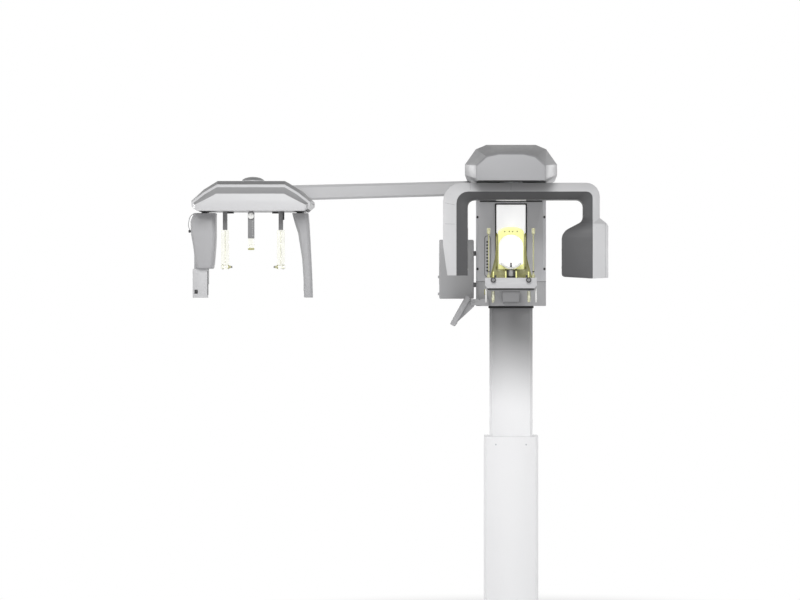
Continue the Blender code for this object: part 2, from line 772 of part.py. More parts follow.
def beam_rings(grow, longer=0.0):
    """The cephalometric beam's two end sections, across its own line."""
    start = Vector((-UPPER_HALF - SEAT, 0.0, BEAM_Z_COLUMN))
    end = Vector((BEAM_CEPH_X, CEPH_BACK + SEAT, BEAM_Z_CEPH))
    along = (start - end) * longer
    start += along
    end -= along
    half_width = BEAM_HALF_WIDTH + grow
    half_height = BEAM_HALF_HEIGHT + grow
    chamfer = 0.010
    section = [
        (half_width - chamfer, -half_height), (half_width, -half_height + chamfer),
        (half_width, half_height - chamfer), (half_width - chamfer, half_height),
        (-half_width + chamfer, half_height), (-half_width, half_height - chamfer),
        (-half_width, -half_height + chamfer), (-half_width + chamfer, -half_height),
    ]
    slant = (start.x - end.x) / (start.y - end.y)
    first = [(start.x, start.y + across, start.z + up) for across, up in section]
    second = [(end.x - across * slant, end.y, end.z + up) for across, up in section]
    return first, second


def beam_notch(name):
    """What the cephalometric beam takes out of the covers it runs through."""
    return loft(name, "black", list(beam_rings(0.002)), hidden=True)


def build_head():
    cover = head_loft("head_cover", 0.0)
    cut(cover, head_loft("head_cover_inside", -WALL, hidden=True))
    cut(cover, beam_notch("cover_notch"))

    edge = WALL + SEAT
    hole = chamfered(UPPER_HALF + 0.002, UPPER_DEPTH + 0.002, COLUMN_CHAMFER)
    front = HEAD_FRONT + edge
    back = HEAD_FRONT + HEAD_SECTIONS[-1][0] - edge
    half = [
        (0.146 - edge, front), (0.156 - edge, HEAD_FRONT + 0.160),
        (0.156 - edge, HEAD_FRONT + 0.930), (0.140 - edge, back),
    ]
    hub_hole = circle((0.0, GANTRY_Y), HUB_RADIUS + 0.002, 32)
    under = plate(
        "head_under_cover", "shell_dark", [mirrored(half), hole, hub_hole], "Z", HEAD_BOTTOM,
        HEAD_BOTTOM + HEAD_PLATE,
    )
    cut(under, beam_notch("under_notch"))

    arm_low = UPPER_TOP + SEAT
    arm = box("head_arm", "steel", (-ARM_HALF, ARM_FRONT, arm_low),
        (ARM_HALF, UPPER_DEPTH, arm_low + ARM_HEIGHT))
    lighten = box(
        "head_arm_hollow", "black", (-ARM_HALF + 0.006, ARM_FRONT - 0.01, arm_low + 0.006),
        (ARM_HALF - 0.006, UPPER_DEPTH + 0.01, arm_low + ARM_HEIGHT - 0.006), hidden=True,
    )
    cut(arm, lighten)
    shaft_hole = cylinder(
        "shaft_hole", "black", MOTOR_SHAFT + 0.004, (0, MOTOR_Y, arm_low - 0.01),
        (0, MOTOR_Y, arm_low + ARM_HEIGHT + 0.01), 16, hidden=True,
    )
    cut(arm, shaft_hole)
    join(arm, build_cover_bracket(arm_low))

    ring_top = arm_low - SEAT
    ring_low = ring_top - RING_HEIGHT
    race = RACE_RADIUS + RUN
    turned(
        "slewing_ring", "steel",
        [(race, ring_top), (RING_RADIUS, ring_top), (RING_RADIUS, ring_low), (race, ring_low)],
        (0.0, GANTRY_Y, 0.0), closed=True,
    )
    motor_low = arm_low + ARM_HEIGHT + SEAT
    motor_top = motor_low + MOTOR_HEIGHT
    bore = MOTOR_SHAFT + RUN
    turned(
        "rotation_motor", "black",
        [(0.0, motor_top), (MOTOR_RADIUS - 0.003, motor_top), (MOTOR_RADIUS, motor_top - 0.003),
         (MOTOR_RADIUS, motor_low), (bore, motor_low), (bore, motor_low + 0.03), (0.0, motor_low + 0.03)],
        (0.0, MOTOR_Y, 0.0), steps=24,
    )
    belt_low = PULLEY_LOW + 0.003
    belt_high = PULLEY_LOW + PULLEY_HEIGHT - 0.003
    reach = MOTOR_Y - GANTRY_Y
    lean = math.degrees(math.asin((PULLEY_RADIUS - MOTOR_PULLEY_RADIUS) / reach))

    def loop(extra):
        big = arc((0.0, GANTRY_Y), PULLEY_RADIUS + extra, 180.0 - lean, 360.0 + lean, 32)
        small = arc((0.0, MOTOR_Y), MOTOR_PULLEY_RADIUS + extra, lean, 180.0 - lean, 8)
        return big + small

    plate("drive_belt", "rubber", [loop(SEAT + BELT), loop(SEAT)], "Z", belt_low, belt_high)
    return ring_top, ring_low, motor_low


def build_cover_bracket(arm_low):
    """The bracket that holds the head cover on the arm."""
    top = HEAD_TOP - WALL - SEAT
    foot = arm_low + ARM_HEIGHT - 0.001
    outline = [(-ARM_HALF + 0.01, foot), (ARM_HALF - 0.01, foot), (ARM_HALF - 0.02, top),
        (-ARM_HALF + 0.02, top)]
    return plate("cover_bracket", "steel", [outline], "Y", -0.20, -0.16, hidden=True)


# Gantry


def gantry_outer_line():
    """Matching points of the outer edge and the ridge, with the share of extra depth."""
    left_outer = arc(
        (LEFT_OUTER + CORNER_LEFT, GANTRY_TOP - CORNER_LEFT), CORNER_LEFT, 180, 90, CORNER_STEPS
    )
    right_outer = arc(
        (RIGHT_OUTER_HIGH - CORNER_RIGHT, GANTRY_TOP - CORNER_RIGHT), CORNER_RIGHT, 90, 0, CORNER_STEPS
    )
    left_ridge, right_ridge = ridge_corners()
    line = [
        ((LEFT_OUTER_LOW, LEFT_BOTTOM), (LEFT_RIDGE, LEFT_BOTTOM), 0.0),
        ((LEFT_OUTER, LEFT_TAPER), (LEFT_RIDGE, LEFT_TAPER), 0.0),
    ]
    line += [(outer, ridge, 0.0) for outer, ridge in zip(left_outer, left_ridge)]
    line += [(outer, ridge, 0.0) for outer, ridge in zip(right_outer, right_ridge)]
    step = RIGHT_OUTER - RIGHT_OUTER_HIGH
    line += [
        ((RIGHT_OUTER_HIGH, HOUSING_TOP), (RIGHT_RIDGE, HOUSING_TOP), 0.0),
        ((RIGHT_OUTER - 0.15 * step, HOUSING_TOP - 0.7 * step), (RIGHT_RIDGE, HOUSING_TOP - 0.7 * step),
            0.85),
        ((RIGHT_OUTER, HOUSING_TOP - step), (RIGHT_RIDGE, HOUSING_TOP - step), 1.0),
        ((RIGHT_OUTER, RIGHT_BOTTOM), (RIGHT_RIDGE, RIGHT_BOTTOM - RIDGE_DROP), 1.0),
    ]
    return line


def ridge_corners():
    left = arc(
        (LEFT_RIDGE + RIDGE_LEFT, RIDGE_TOP - RIDGE_LEFT), RIDGE_LEFT, 180, 90, CORNER_STEPS
    )
    right = arc(
        (RIGHT_RIDGE - RIDGE_RIGHT, RIDGE_TOP - RIDGE_RIGHT), RIDGE_RIGHT, 90, 0, CORNER_STEPS
    )
    return left, right


def gantry_inner_line():
    """Matching points of the inner edge and the ridge. On the right the inner edge swings in an
    S from the narrow arm to the wide tube housing."""
    left_inner = arc(
        (LEFT_INNER + CORNER_INNER, BEAM_BOTTOM - CORNER_INNER), CORNER_INNER, 180, 90, CORNER_STEPS
    )
    right_inner = arc(
        (RIGHT_INNER_HIGH - CORNER_INNER, BEAM_BOTTOM - CORNER_INNER), CORNER_INNER, 90, 0, CORNER_STEPS
    )
    left_ridge, right_ridge = ridge_corners()
    line = [((LEFT_INNER, LEFT_BOTTOM), (LEFT_RIDGE, LEFT_BOTTOM), 0.0)]
    line += [(inner, ridge, 0.0) for inner, ridge in zip(left_inner, left_ridge)]
    line += [(inner, ridge, 0.0) for inner, ridge in zip(right_inner, right_ridge)]
    upper = arc((RIGHT_INNER_HIGH - SWING_HIGH, SWING_TOP), SWING_HIGH, 0, -SWING_ANGLE, 4)
    slope = math.radians(SWING_ANGLE)
    lower_start_x = RIGHT_INNER + SWING_LOW * (1 - math.cos(slope))
    run = upper[-1][0] - lower_start_x
    lower_start_z = upper[-1][1] - run * math.cos(slope) / math.sin(slope)
    centre = (RIGHT_INNER + SWING_LOW, lower_start_z - SWING_LOW * math.sin(slope))
    lower = arc(centre, SWING_LOW, 180 - SWING_ANGLE, 180, 4)
    swing = upper + lower
    line += [
        ((x, z), (RIGHT_RIDGE, z), min(1.0, (SWING_TOP - z) / (SWING_TOP - swing[-1][1])))
        for x, z in swing
    ]
    foot = arc(
        (RIGHT_INNER + FOOT_RADIUS, RIGHT_BOTTOM + FOOT_RADIUS + 0.004), FOOT_RADIUS, 180, 270, 3
    )
    count = len(foot) - 1
    ridge_start = RIGHT_BOTTOM + FOOT_RADIUS
    ridge_end = RIGHT_BOTTOM - RIDGE_DROP
    line += [
        (point, (RIGHT_RIDGE, ridge_start + (ridge_end - ridge_start) * i / count), 1.0)
        for i, point in enumerate(foot)
    ]
    return line


def gantry_half(name, finish_name, line, edge_depth, gap, hidden=False, wall=0.0):
    """Lofts one of the two covers between its edge line and the ridge, or with a wall the
    hollow inside it, which runs out through the parting face."""
    rings = []
    last = len(line) - 1
    for i, ((ex, ez), (rx, rz), share) in enumerate(line):
        edge = Vector((ex, ez))
        ridge = Vector((rx, rz))
        towards = (ridge - edge).normalized()
        extra = HOUSING_EXTRA * share
        depth_edge = edge_depth + extra
        depth_ridge = RIDGE_DEPTH + extra
        if wall:
            edge = edge + towards * wall
            ridge = ridge + towards * wall
            depth_edge -= wall * 1.15
            depth_ridge -= wall * 1.15
            if i in (0, last):
                edge.y += wall
                ridge.y += wall
        else:
            ridge = ridge - towards * gap
        rings.append([
            (edge.x, GANTRY_Y - depth_edge, edge.y), (ridge.x, GANTRY_Y - depth_ridge, ridge.y),
            (ridge.x, GANTRY_Y + depth_ridge, ridge.y), (edge.x, GANTRY_Y + depth_edge, edge.y),
        ])
    return loft(name, finish_name, rings, hidden)


def build_gantry(ring_top, ring_low):
    outer_line = gantry_outer_line()
    inner_line = gantry_inner_line()
    outer = gantry_half("gantry_outer_cover", "shell_light", outer_line, OUTER_DEPTH, 0.0)
    cut(outer, gantry_half("gantry_outer_hollow", "black", outer_line, OUTER_DEPTH, 0.0, True, WALL))
    hub_hole = cylinder(
        "hub_hole", "black", HUB_RADIUS + SEAT, (0, GANTRY_Y, RIDGE_TOP + 0.016),
        (0, GANTRY_Y, GANTRY_TOP + 0.01),
        32, hidden=True,
    )
    cut(outer, hub_hole)
    inner = gantry_half("gantry_inner_cover", "shell_dark", inner_line, INNER_DEPTH, SEAT)
    cut(inner, gantry_half("gantry_inner_hollow", "black", inner_line, INNER_DEPTH, SEAT, True, WALL))

    left_ridge, right_ridge = ridge_corners()
    line = [((LEFT_RIDGE - 1.0, LEFT_BOTTOM + 0.02), (LEFT_RIDGE, LEFT_BOTTOM + 0.02))]
    centre_left = (LEFT_RIDGE + RIDGE_LEFT, RIDGE_TOP - RIDGE_LEFT)
    centre_right = (RIGHT_RIDGE - RIDGE_RIGHT, RIDGE_TOP - RIDGE_RIGHT)
    line += [((2 * x - centre_left[0], 2 * z - centre_left[1]), (x, z)) for x, z in left_ridge]
    line += [((2 * x - centre_right[0], 2 * z - centre_right[1]), (x, z)) for x, z in right_ridge]
    line += [((RIGHT_RIDGE + 1.0, TUBE_TOP + SEAT), (RIGHT_RIDGE, TUBE_TOP + SEAT))]
    rings = []
    for outside, middle in line:
        middle = Vector(middle)
        away = (Vector(outside) - middle).normalized()
        near = middle - away * FRAME_HALF
        far = middle + away * FRAME_HALF
        rings.append([
            (far.x, GANTRY_Y - FRAME_DEPTH, far.y), (near.x, GANTRY_Y - FRAME_DEPTH, near.y),
            (near.x, GANTRY_Y + FRAME_DEPTH, near.y), (far.x, GANTRY_Y + FRAME_DEPTH, far.y),
        ])
    loft("gantry_frame", "aluminium", rings)

    hub_low = RIDGE_TOP + FRAME_HALF + SEAT
    race_low = ring_low
    pulley_high = PULLEY_LOW + PULLEY_HEIGHT
    flange = PULLEY_RADIUS + PULLEY_FLANGE
    turned(
        "gantry_hub", "steel",
        [
            (HUB_BORE, ring_top - 0.001), (RACE_RADIUS, ring_top - 0.001), (RACE_RADIUS, race_low),
            (HUB_RADIUS, race_low), (HUB_RADIUS, pulley_high), (flange, pulley_high),
            (flange, pulley_high - 0.002), (PULLEY_RADIUS, pulley_high - 0.002),
            (PULLEY_RADIUS, PULLEY_LOW + 0.002), (flange, PULLEY_LOW + 0.002), (flange, PULLEY_LOW),
            (HUB_RADIUS, PULLEY_LOW), (HUB_RADIUS, hub_low), (HUB_BORE, hub_low),
        ],
        (0.0, GANTRY_Y, 0.0), steps=32, closed=True,
    )

    plate_x = LEFT_RIDGE + FRAME_HALF + SEAT
    box(
        "flat_panel_detector", "black", (plate_x, GANTRY_Y - DETECTOR_HALF, LEFT_BOTTOM + 0.012),
        (plate_x + DETECTOR_THICK, GANTRY_Y + DETECTOR_HALF, LEFT_BOTTOM + 0.012 + DETECTOR_HEIGHT),
    )
    tank_in = RIGHT_INNER + WALL + COLLIMATOR + 0.008
    tank_out = RIGHT_OUTER - WALL - 0.012
    shoulder = TUBE_TOP - 0.045
    outline = [
        (tank_in, TUBE_LOW), (tank_out, TUBE_LOW), (tank_out, TUBE_TOP), (tank_in + 0.063, TUBE_TOP),
        (tank_in, shoulder),
    ]
    tank = plate("x_ray_tube_head", "aluminium", [outline], "Y", GANTRY_Y - TUBE_DEPTH, GANTRY_Y + TUBE_DEPTH)
    round_edges(tank, 0.006, 2, 50)
    low = (tank_in - SEAT - COLLIMATOR, GANTRY_Y - 0.045, TUBE_LOW + 0.008)
    high = (tank_in - SEAT, GANTRY_Y + 0.045, TUBE_LOW + 0.082)
    collimator = box("collimator", "steel", low, high)
    cut(collimator, box(
        "collimator_slot", "black", (low[0] - 0.01, GANTRY_Y - 0.004, low[2] + 0.008),
        (high[0] + 0.01, GANTRY_Y + 0.004, high[2] - 0.008), hidden=True,
    ))


def build_motor_pulley(motor_low):
    high = PULLEY_LOW + PULLEY_HEIGHT
    flange = MOTOR_PULLEY_RADIUS + PULLEY_FLANGE
    top = motor_low + 0.028
    turned(
        "motor_pulley", "aluminium",
        [
            (0.0, top), (MOTOR_SHAFT, top), (MOTOR_SHAFT, high), (flange, high), (flange, high - 0.002),
            (MOTOR_PULLEY_RADIUS, high - 0.002), (MOTOR_PULLEY_RADIUS, PULLEY_LOW + 0.002),
            (flange, PULLEY_LOW + 0.002), (flange, PULLEY_LOW), (0.0, PULLEY_LOW),
        ],
        (0.0, MOTOR_Y, 0.0), steps=20,
    )


# Patient support


def build_support():
    start = -UPPER_DEPTH - SEAT
    end = SUPPORT_Y - TABLE_DEPTH + 0.02
    arm = loft("chin_arm", "shell_grey", [
        [(-CHIN_ARM_HALF_LOW, y, low), (CHIN_ARM_HALF_LOW, y, low),
         (CHIN_ARM_HALF, y, CHIN_ARM_TOP), (-CHIN_ARM_HALF, y, CHIN_ARM_TOP)]
        for y, low in ((start, CHIN_ARM_LOW), (end + 0.02, CHIN_ARM_LOW), (end, CHIN_ARM_LOW + 0.006))
    ])
    tray = box(
        "table_tray", "shell_dark", (-TRAY_HALF, SUPPORT_Y - TABLE_DEPTH + 0.008, CHIN_ARM_TOP - 0.004),
        (TRAY_HALF, SUPPORT_Y + TABLE_DEPTH - 0.008, TABLE_LOW - SEAT), hidden=True,
    )
    join(arm, tray)

    cut_corner = 0.012
    outline = [
        (TABLE_HALF - cut_corner, TABLE_LOW), (TABLE_HALF, TABLE_LOW + cut_corner), (TABLE_HALF, TABLE_TOP),
        (-TABLE_HALF, TABLE_TOP), (-TABLE_HALF, TABLE_LOW + cut_corner),
        (-TABLE_HALF + cut_corner, TABLE_LOW),
    ]
    front = SUPPORT_Y - TABLE_DEPTH
    table = plate("chin_table", "shell_light", [outline], "Y", front, SUPPORT_Y + TABLE_DEPTH)
    post_y = SUPPORT_Y + POST_OFFSET
    cut(table, cylinder(
        "post_socket", "black", POST_RADIUS + RUN, (0, post_y, TABLE_TOP - POST_SOCKET),
        (0, post_y, TABLE_TOP + 0.01),
        20, hidden=True,
    ))
    for side, name in ((-1, "left"), (1, "right")):
        x = side * KNOB_X
        cut(table, cylinder(
            f"knob_hole_{name}", "black", KNOB_SHAFT + RUN, (x, front - 0.01, KNOB_Z),
            (x, front + KNOB_REACH + 0.002, KNOB_Z), 12, hidden=True,
        ))
        knob = turned(
            f"temple_knob_{name}", "shell_grey",
            [
                (0.0, KNOB_REACH), (KNOB_SHAFT, KNOB_REACH), (KNOB_SHAFT, -SEAT), (KNOB_RADIUS, -SEAT),
                (KNOB_RADIUS, -0.010), (KNOB_RADIUS - 0.002, -0.013), (0.0, -0.013),
            ],
            (x, front, KNOB_Z), steps=18, axis="Y",
        )
        knob.rotation_euler = (-math.pi / 2, 0.0, 0.0)
        pivot(f"temple_knob_{name}_axis", (x, front, KNOB_Z), knob)

    post = cylinder(
        "chin_post", "black", POST_RADIUS, (0, post_y, TABLE_TOP - POST_SOCKET + SEAT),
        (0, post_y, POST_TOP), 20,
    )
    rim = POST_TOP + CUP_DEPTH
    cup = turned(
        "chin_cup", "white",
        [
            (0.0, POST_TOP + 0.007), (CUP_RADIUS * 0.55, POST_TOP + 0.010), (CUP_RADIUS - WALL, rim),
            (CUP_RADIUS, rim), (CUP_RADIUS * 0.60, POST_TOP + 0.003), (0.016, POST_TOP + SEAT),
            (0.0, POST_TOP + SEAT),
        ],
        (0.0, post_y, 0.0), steps=24,
    )
    pivot("chin_post_slide", (0.0, post_y, TABLE_TOP), post, cup)
    build_band()
    for side, name in ((-1, "left"), (1, "right")):
        build_temple_rod(side, name)
        build_grip(side, name)


def build_band():
    """The yellow head frame: an arched plate with side flanges and a flared foot."""
    foot = TABLE_TOP + SEAT
    back = SUPPORT_Y + BAND_OFFSET
    front = back - BAND_THICK
    shoulder = FRAME_TOP - BAND_CROWN
    arch_z = FRAME_TOP - ARCH_DROP
    knee = TABLE_TOP + BAND_KNEE
    straight = knee + BAND_SILL
    crown = arc((BAND_HALF - BAND_CROWN, shoulder), BAND_CROWN, 0, 90, 4)
    half = [(BAND_FLARE, foot), (BAND_HALF + 0.004, knee), (BAND_HALF, straight)] + crown
    outline = mirrored(half)
    inner_half = BAND_HALF - BAND_EDGE
    low = TABLE_TOP + BAND_SILL
    arch = arc((0.0, arch_z), inner_half, 0, 180, 10)
    crest = [(x, arch_z + (z - arch_z) * ARCH_FLATTEN) for x, z in arch]
    opening = [(inner_half, low)] + crest + [(-inner_half, low)]
    band = plate("head_band", "amber", [outline, opening], "Y", front, back)
    for side, name in ((-1, "left"), (1, "right")):
        inside = side * (BAND_HALF - 0.0045)
        outside = side * BAND_HALF
        flange = box(
            f"band_flange_{name}", "amber", (min(inside, outside), front - BAND_FLANGE, knee - 0.007),
            (max(inside, outside), back - 0.0005, shoulder - 0.004), hidden=True,
        )
        join(band, flange)
        rib = side * (BAND_HALF - 0.004)
        outline = [
            (rib, straight - 0.010), (rib, knee - 0.007), (side * (BAND_FLARE - 0.004), foot),
            (side * BAND_FLARE, foot),
            (side * (BAND_HALF + 0.005), knee), (outside, straight - 0.010),
        ]
        gusset = plate(f"band_gusset_{name}", "amber", [outline], "Y", front - BAND_FLANGE * 0.7,
            back - 0.0005, hidden=True)
        join(band, gusset)


def build_temple_rod(side, name):
    """An upright rod with a clip at each end; it slides along the table."""
    x = side * ROD_X
    y = SUPPORT_Y + ROD_OFFSET
    foot = TABLE_TOP + SEAT
    rod = cylinder(f"temple_rod_{name}", "amber", ROD_RADIUS, (x, y, foot + 0.008), (x, y, ROD_TOP), 10)
    for part, low, high in (("foot", foot, foot + 0.015), ("head", ROD_TOP - 0.014, ROD_TOP + 0.013)):
        clip = box(
            f"{part}_clip_{name}", "amber", (x - 0.007, y - 0.009, low), (x + 0.007, y + 0.009, high),
            hidden=True,
        )
        join(rod, clip)
    pivot(f"temple_slide_{name}", (x, y, foot), rod)


def build_grip(side, name):
    """A loop under the tray that the patient holds."""
    top = CHIN_ARM_TOP - 0.004 - SEAT
    bend = 0.012
    low = top - GRIP_DROP + GRIP_RADIUS
    x = side * GRIP_X
    near = SUPPORT_Y - GRIP_SPAN
    far = SUPPORT_Y + GRIP_SPAN
    first = arc((near + bend, low + bend), bend, 180, 270, 4)
    second = arc((far - bend, low + bend), bend, 270, 360, 4)
    points = [(x, near, top)] + [(x, y, z) for y, z in first + second] + [(x, far, top)]
    tube(f"hand_grip_{name}", "shell_light", points, GRIP_RADIUS, 1)


# Touch panel


def build_panel():
    px, py, pz = PANEL_PIVOT
    half = PANEL_WIDTH / 2
    tilt = Matrix.Rotation(PANEL_TILT, 4, "Y")
    place = Matrix.Translation(PANEL_PIVOT) @ tilt

    back_x = -PANEL_OFFSET
    front_x = back_x - PANEL_THICK
    top = PANEL_RISE
    bottom = top - PANEL_LENGTH
    housing = box("touch_panel_housing", "shell_grey", (front_x, -half, bottom), (back_x, half, top))
    glass_low = (front_x - 0.001, -half + PANEL_BORDER, bottom + PANEL_BORDER)
    glass_high = (front_x + 0.003, half - PANEL_BORDER, top - PANEL_BORDER)
    recess = box("screen_recess", "black", glass_low, glass_high, hidden=True)
    recess.matrix_world = place @ Matrix.Translation(recess.location)
    wedge = loft("panel_wedge", "shell_dark", [
        [(back_x - 0.004, y, top - 0.006), (0.011, y, 0.008), (0.011, y, -0.022),
            (back_x - 0.004, y, bottom + 0.012)]
        for y in (-HINGE_HALF, HINGE_HALF)
    ], hidden=True)
    pin = cylinder(
        "panel_pin", "steel", HINGE_PIN, (0, -HINGE_HALF - CHEEK - 0.0015, 0),
        (0, HINGE_HALF + CHEEK + 0.0015, 0), 14, hidden=True,
    )
    housing.location = (0.0, 0.0, 0.0)
    shift = Vector(((front_x + back_x) / 2, 0.0, (top + bottom) / 2))
    for vertex in housing.data.vertices:
        vertex.co += shift
    round_edges(housing, 0.004, 2, 40)
    join(housing, wedge)
    join(housing, pin)
    cut(housing, recess)
    screen = box(
        "touch_screen", "screen", (front_x + 0.0003, glass_low[1] + SEAT, glass_low[2] + SEAT),
        (front_x + 0.003 - SEAT, glass_high[1] - SEAT, glass_high[2] - SEAT),
    )
    for piece in (housing, wedge, pin):
        turn = piece.rotation_euler.to_matrix().to_4x4()
        piece.matrix_world = place @ Matrix.Translation(piece.location) @ turn
    screen.matrix_world = place @ Matrix.Translation(screen.location)
    pivot("panel_hinge_axis", PANEL_PIVOT, housing, screen)

    arm_left = px + 0.030
    low = BODY_BOTTOM
    high = BODY_BOTTOM + 0.034
    reach = HINGE_HALF + SEAT + RUN
    bracket = box(
        "touch_panel_bracket", "shell_grey", (arm_left, py - reach - CHEEK, low),
        (arm_left + 0.040, BODY_FRONT - SEAT, high),
    )
    for sign in (-1, 1):
        near = py + sign * reach
        far = py + sign * (reach + CHEEK)
        cheek = box(
            f"panel_cheek_{sign}", "shell_grey", (px - 0.012, min(near, far), low + 0.004),
            (arm_left + 0.010, max(near, far), high - 0.002), hidden=True,
        )
        join(bracket, cheek)
    bore = cylinder(
        "panel_bore", "black", HINGE_PIN + RUN, (px, py - reach - CHEEK - 0.01, pz),
        (px, py + reach + CHEEK + 0.01, pz), 14,
        hidden=True,
    )
    cut(bracket, bore)


# Side box


def build_side_box():
    case = box("side_box", "shell_grey", (BOX_OUTER, BOX_FRONT, BOX_LOW), (BOX_INNER, BOX_BACK, BOX_HIGH))
    round_edges(case, 0.004, 2, 40)
    for height in HOOK_HEIGHTS:
        join(case, box(
            f"side_hook_{height}", "shell_grey", (BOX_OUTER - 0.007, BOX_FRONT + 0.030, height - 0.006),
            (BOX_OUTER + 0.004, BOX_FRONT + 0.044, height + 0.006), hidden=True,
        ))
    middle = (BOX_FRONT + BOX_BACK) / 2
    for height in BOSS_HEIGHTS:
        join(case, cylinder(
            f"side_boss_{height}", "black", BOSS_RADIUS, (BOX_INNER - 0.006, middle, height),
            (-BODY_HALF - SEAT, middle, height),
            16, hidden=True,
        ))


# Cephalometric arm


def ceph_ring(y, sizes, grow=0.0):
    half = [(width + grow, height + (grow if i > 2 else 0.0)) for i, (width, height) in enumerate(sizes)]
    return [(CEPH_X + x, y, z) for x, z in mirrored(half)]


def ceph_sections():
    """Half outlines of the cephalometric head from back to front, each as five corners."""
    full = [
        (CEPH_HALF_BOTTOM, CEPH_BOTTOM), (CEPH_HALF, CEPH_CORNER_LOW), (CEPH_HALF, CEPH_CORNER_HIGH),
        (CEPH_HALF_SHOULDER, CEPH_SHOULDER), (CEPH_HALF_TOP, CEPH_TOP),
    ]

    def facet(side, lift, drop):
        bottom, low, high, shoulder, top = full
        return [
            (bottom[0] - side * 0.2, bottom[1]), (low[0] - side, low[1] - lift * 0.6),
            (high[0] - side, high[1] - lift),
            (shoulder[0] - side * 0.5, shoulder[1] - drop * 0.8), (top[0], top[1] - drop),
        ]

    return [
        (CEPH_BACK, facet(0.010, 0.0, 0.012)),
        (CEPH_BACK - 0.012, full),
        (CEPH_FRONT + 0.060, full),
        (CEPH_FRONT + 0.034, facet(0.004, 0.004, 0.016)),
        (CEPH_FRONT + 0.030, facet(0.012, 0.011, 0.0285)),
        (CEPH_FRONT, facet(0.021, 0.018, 0.058)),
    ]


def build_ceph():
    beam = loft("ceph_beam", "shell_light", list(beam_rings(0.0)))
    cut(beam, loft("beam_hollow", "black", list(beam_rings(-BEAM_WALL, 0.02)), hidden=True))
    sections = ceph_sections()
    housing = loft("ceph_housing", "shell_light", [ceph_ring(y, sizes) for y, sizes in sections])
    inside = []
    for y, sizes in sections[1:]:
        place = min(max(y, CEPH_FRONT + WALL), CEPH_BACK - WALL)
        ring = [(width - WALL * 1.2, height - (WALL * 1.1 if i > 1 else 0.0)) for i,
            (width, height) in enumerate(sizes)]
        ring[0] = (ring[0][0], CEPH_BOTTOM - 0.01)
        inside.append(ceph_ring(place, ring))
    inside[0] = [(x, CEPH_BACK - WALL, z) for x, _, z in inside[0]]
    cut(housing, loft("ceph_hollow", "black", inside, hidden=True))
    dome = turned(
        "ceph_dome", "shell_grey",
        [(0.0, CEPH_TOP + DOME_HEIGHT)] + [
            (DOME_RADIUS * math.sin(math.radians(a)), CEPH_TOP + DOME_HEIGHT * math.cos(math.radians(a)))
            for a in (20, 40, 60, 78, 90)
        ] + [(DOME_RADIUS, CEPH_TOP - 0.002), (0.0, CEPH_TOP - 0.002)],
        (CEPH_X, CEPH_Y, 0.0), steps=24, hidden=True,
    )
    join(housing, dome)

    plate_low = CEPH_BOTTOM
    edge = CEPH_HALF_BOTTOM - WALL * 1.2 - SEAT - 0.0005
    near = CEPH_FRONT + WALL + 0.0015
    far = CEPH_BACK - WALL - 0.0015
    outline = [(CEPH_X - edge, near), (CEPH_X + edge, near), (CEPH_X + edge, far), (CEPH_X - edge, far)]
    slots = []
    for x in (SENSOR_X, COLLIMATOR_X):
        slots.append([
            (x - NECK_HALF - 0.002, CEPH_Y - SCAN_TRAVEL - NECK_HALF - 0.002),
            (x + NECK_HALF + 0.002, CEPH_Y - SCAN_TRAVEL - NECK_HALF - 0.002),
            (x + NECK_HALF + 0.002, CEPH_Y + SCAN_TRAVEL + NECK_HALF + 0.002),
            (x - NECK_HALF - 0.002, CEPH_Y + SCAN_TRAVEL + NECK_HALF + 0.002),
        ])
    hole = circle((CEPH_X, CEPH_Y), TURNTABLE_RADIUS + RUN, 40)
    plate(
        "ceph_under_plate", "shell_grey", [outline, hole] + slots, "Z", plate_low, plate_low + CEPH_PLATE,
    )

    chassis = box(
        "ceph_chassis", "aluminium", (CEPH_X - CHASSIS_HALF, CEPH_FRONT + 0.062, CHASSIS_Z),
        (CEPH_X + CHASSIS_HALF, CEPH_BACK - WALL - SEAT, CHASSIS_Z + 0.006),
    )
    rail_reach = SCAN_TRAVEL + NECK_HALF + 0.004
    for x, side in ((SENSOR_X, "sensor"), (COLLIMATOR_X, "collimator")):
        for sign in (-1, 1):
            middle = CEPH_Y + sign * (rail_reach + 0.005)
            join(chassis, box(
                f"rail_lug_{side}_{sign}", "aluminium", (x - 0.012, middle - 0.005, RAIL_Z - 0.012),
                (x + 0.012, middle + 0.005, CHASSIS_Z + 0.003), hidden=True,
            ))
        join(chassis, cylinder(
            f"scan_rail_{side}", "steel", RAIL_RADIUS, (x, CEPH_Y - rail_reach - 0.009, RAIL_Z),
            (x, CEPH_Y + rail_reach + 0.009, RAIL_Z), 14, hidden=True,
        ))
    join(chassis, cylinder(
        "ceph_scan_motor", "aluminium", 0.021, (CEPH_X + 0.09, CEPH_Y + 0.06, CHASSIS_Z + 0.003),
        (CEPH_X + 0.09, CEPH_Y + 0.06, CHASSIS_Z + 0.050), 18, hidden=True,
    ))

    table_low = CEPH_BOTTOM
    turntable = turned(
        "ceph_turntable", "shell_grey",
        [
            (0.0, CHASSIS_Z - SEAT), (0.030, CHASSIS_Z - SEAT), (0.030, table_low + 0.010),
            (TURNTABLE_RADIUS, table_low + 0.010), (TURNTABLE_RADIUS, table_low), (0.0, table_low),
        ],
        (CEPH_X, CEPH_Y, 0.0), steps=40,
    )
    hanger_y = CEPH_Y + NASION_Y
    join(turntable, box(
        "nasion_hanger", "shell_grey", (CEPH_X - 0.010, hanger_y + 0.0003, 1.880),
        (CEPH_X + 0.010, hanger_y + 0.0083, table_low + 0.002), hidden=True,
    ))
    pivot("turntable_axis", (CEPH_X, CEPH_Y, CEPH_BOTTOM), turntable)
    for side, name in ((-1, "left"), (1, "right")):
        build_ear(side, name)
    build_nasion(hanger_y)
    build_legs()


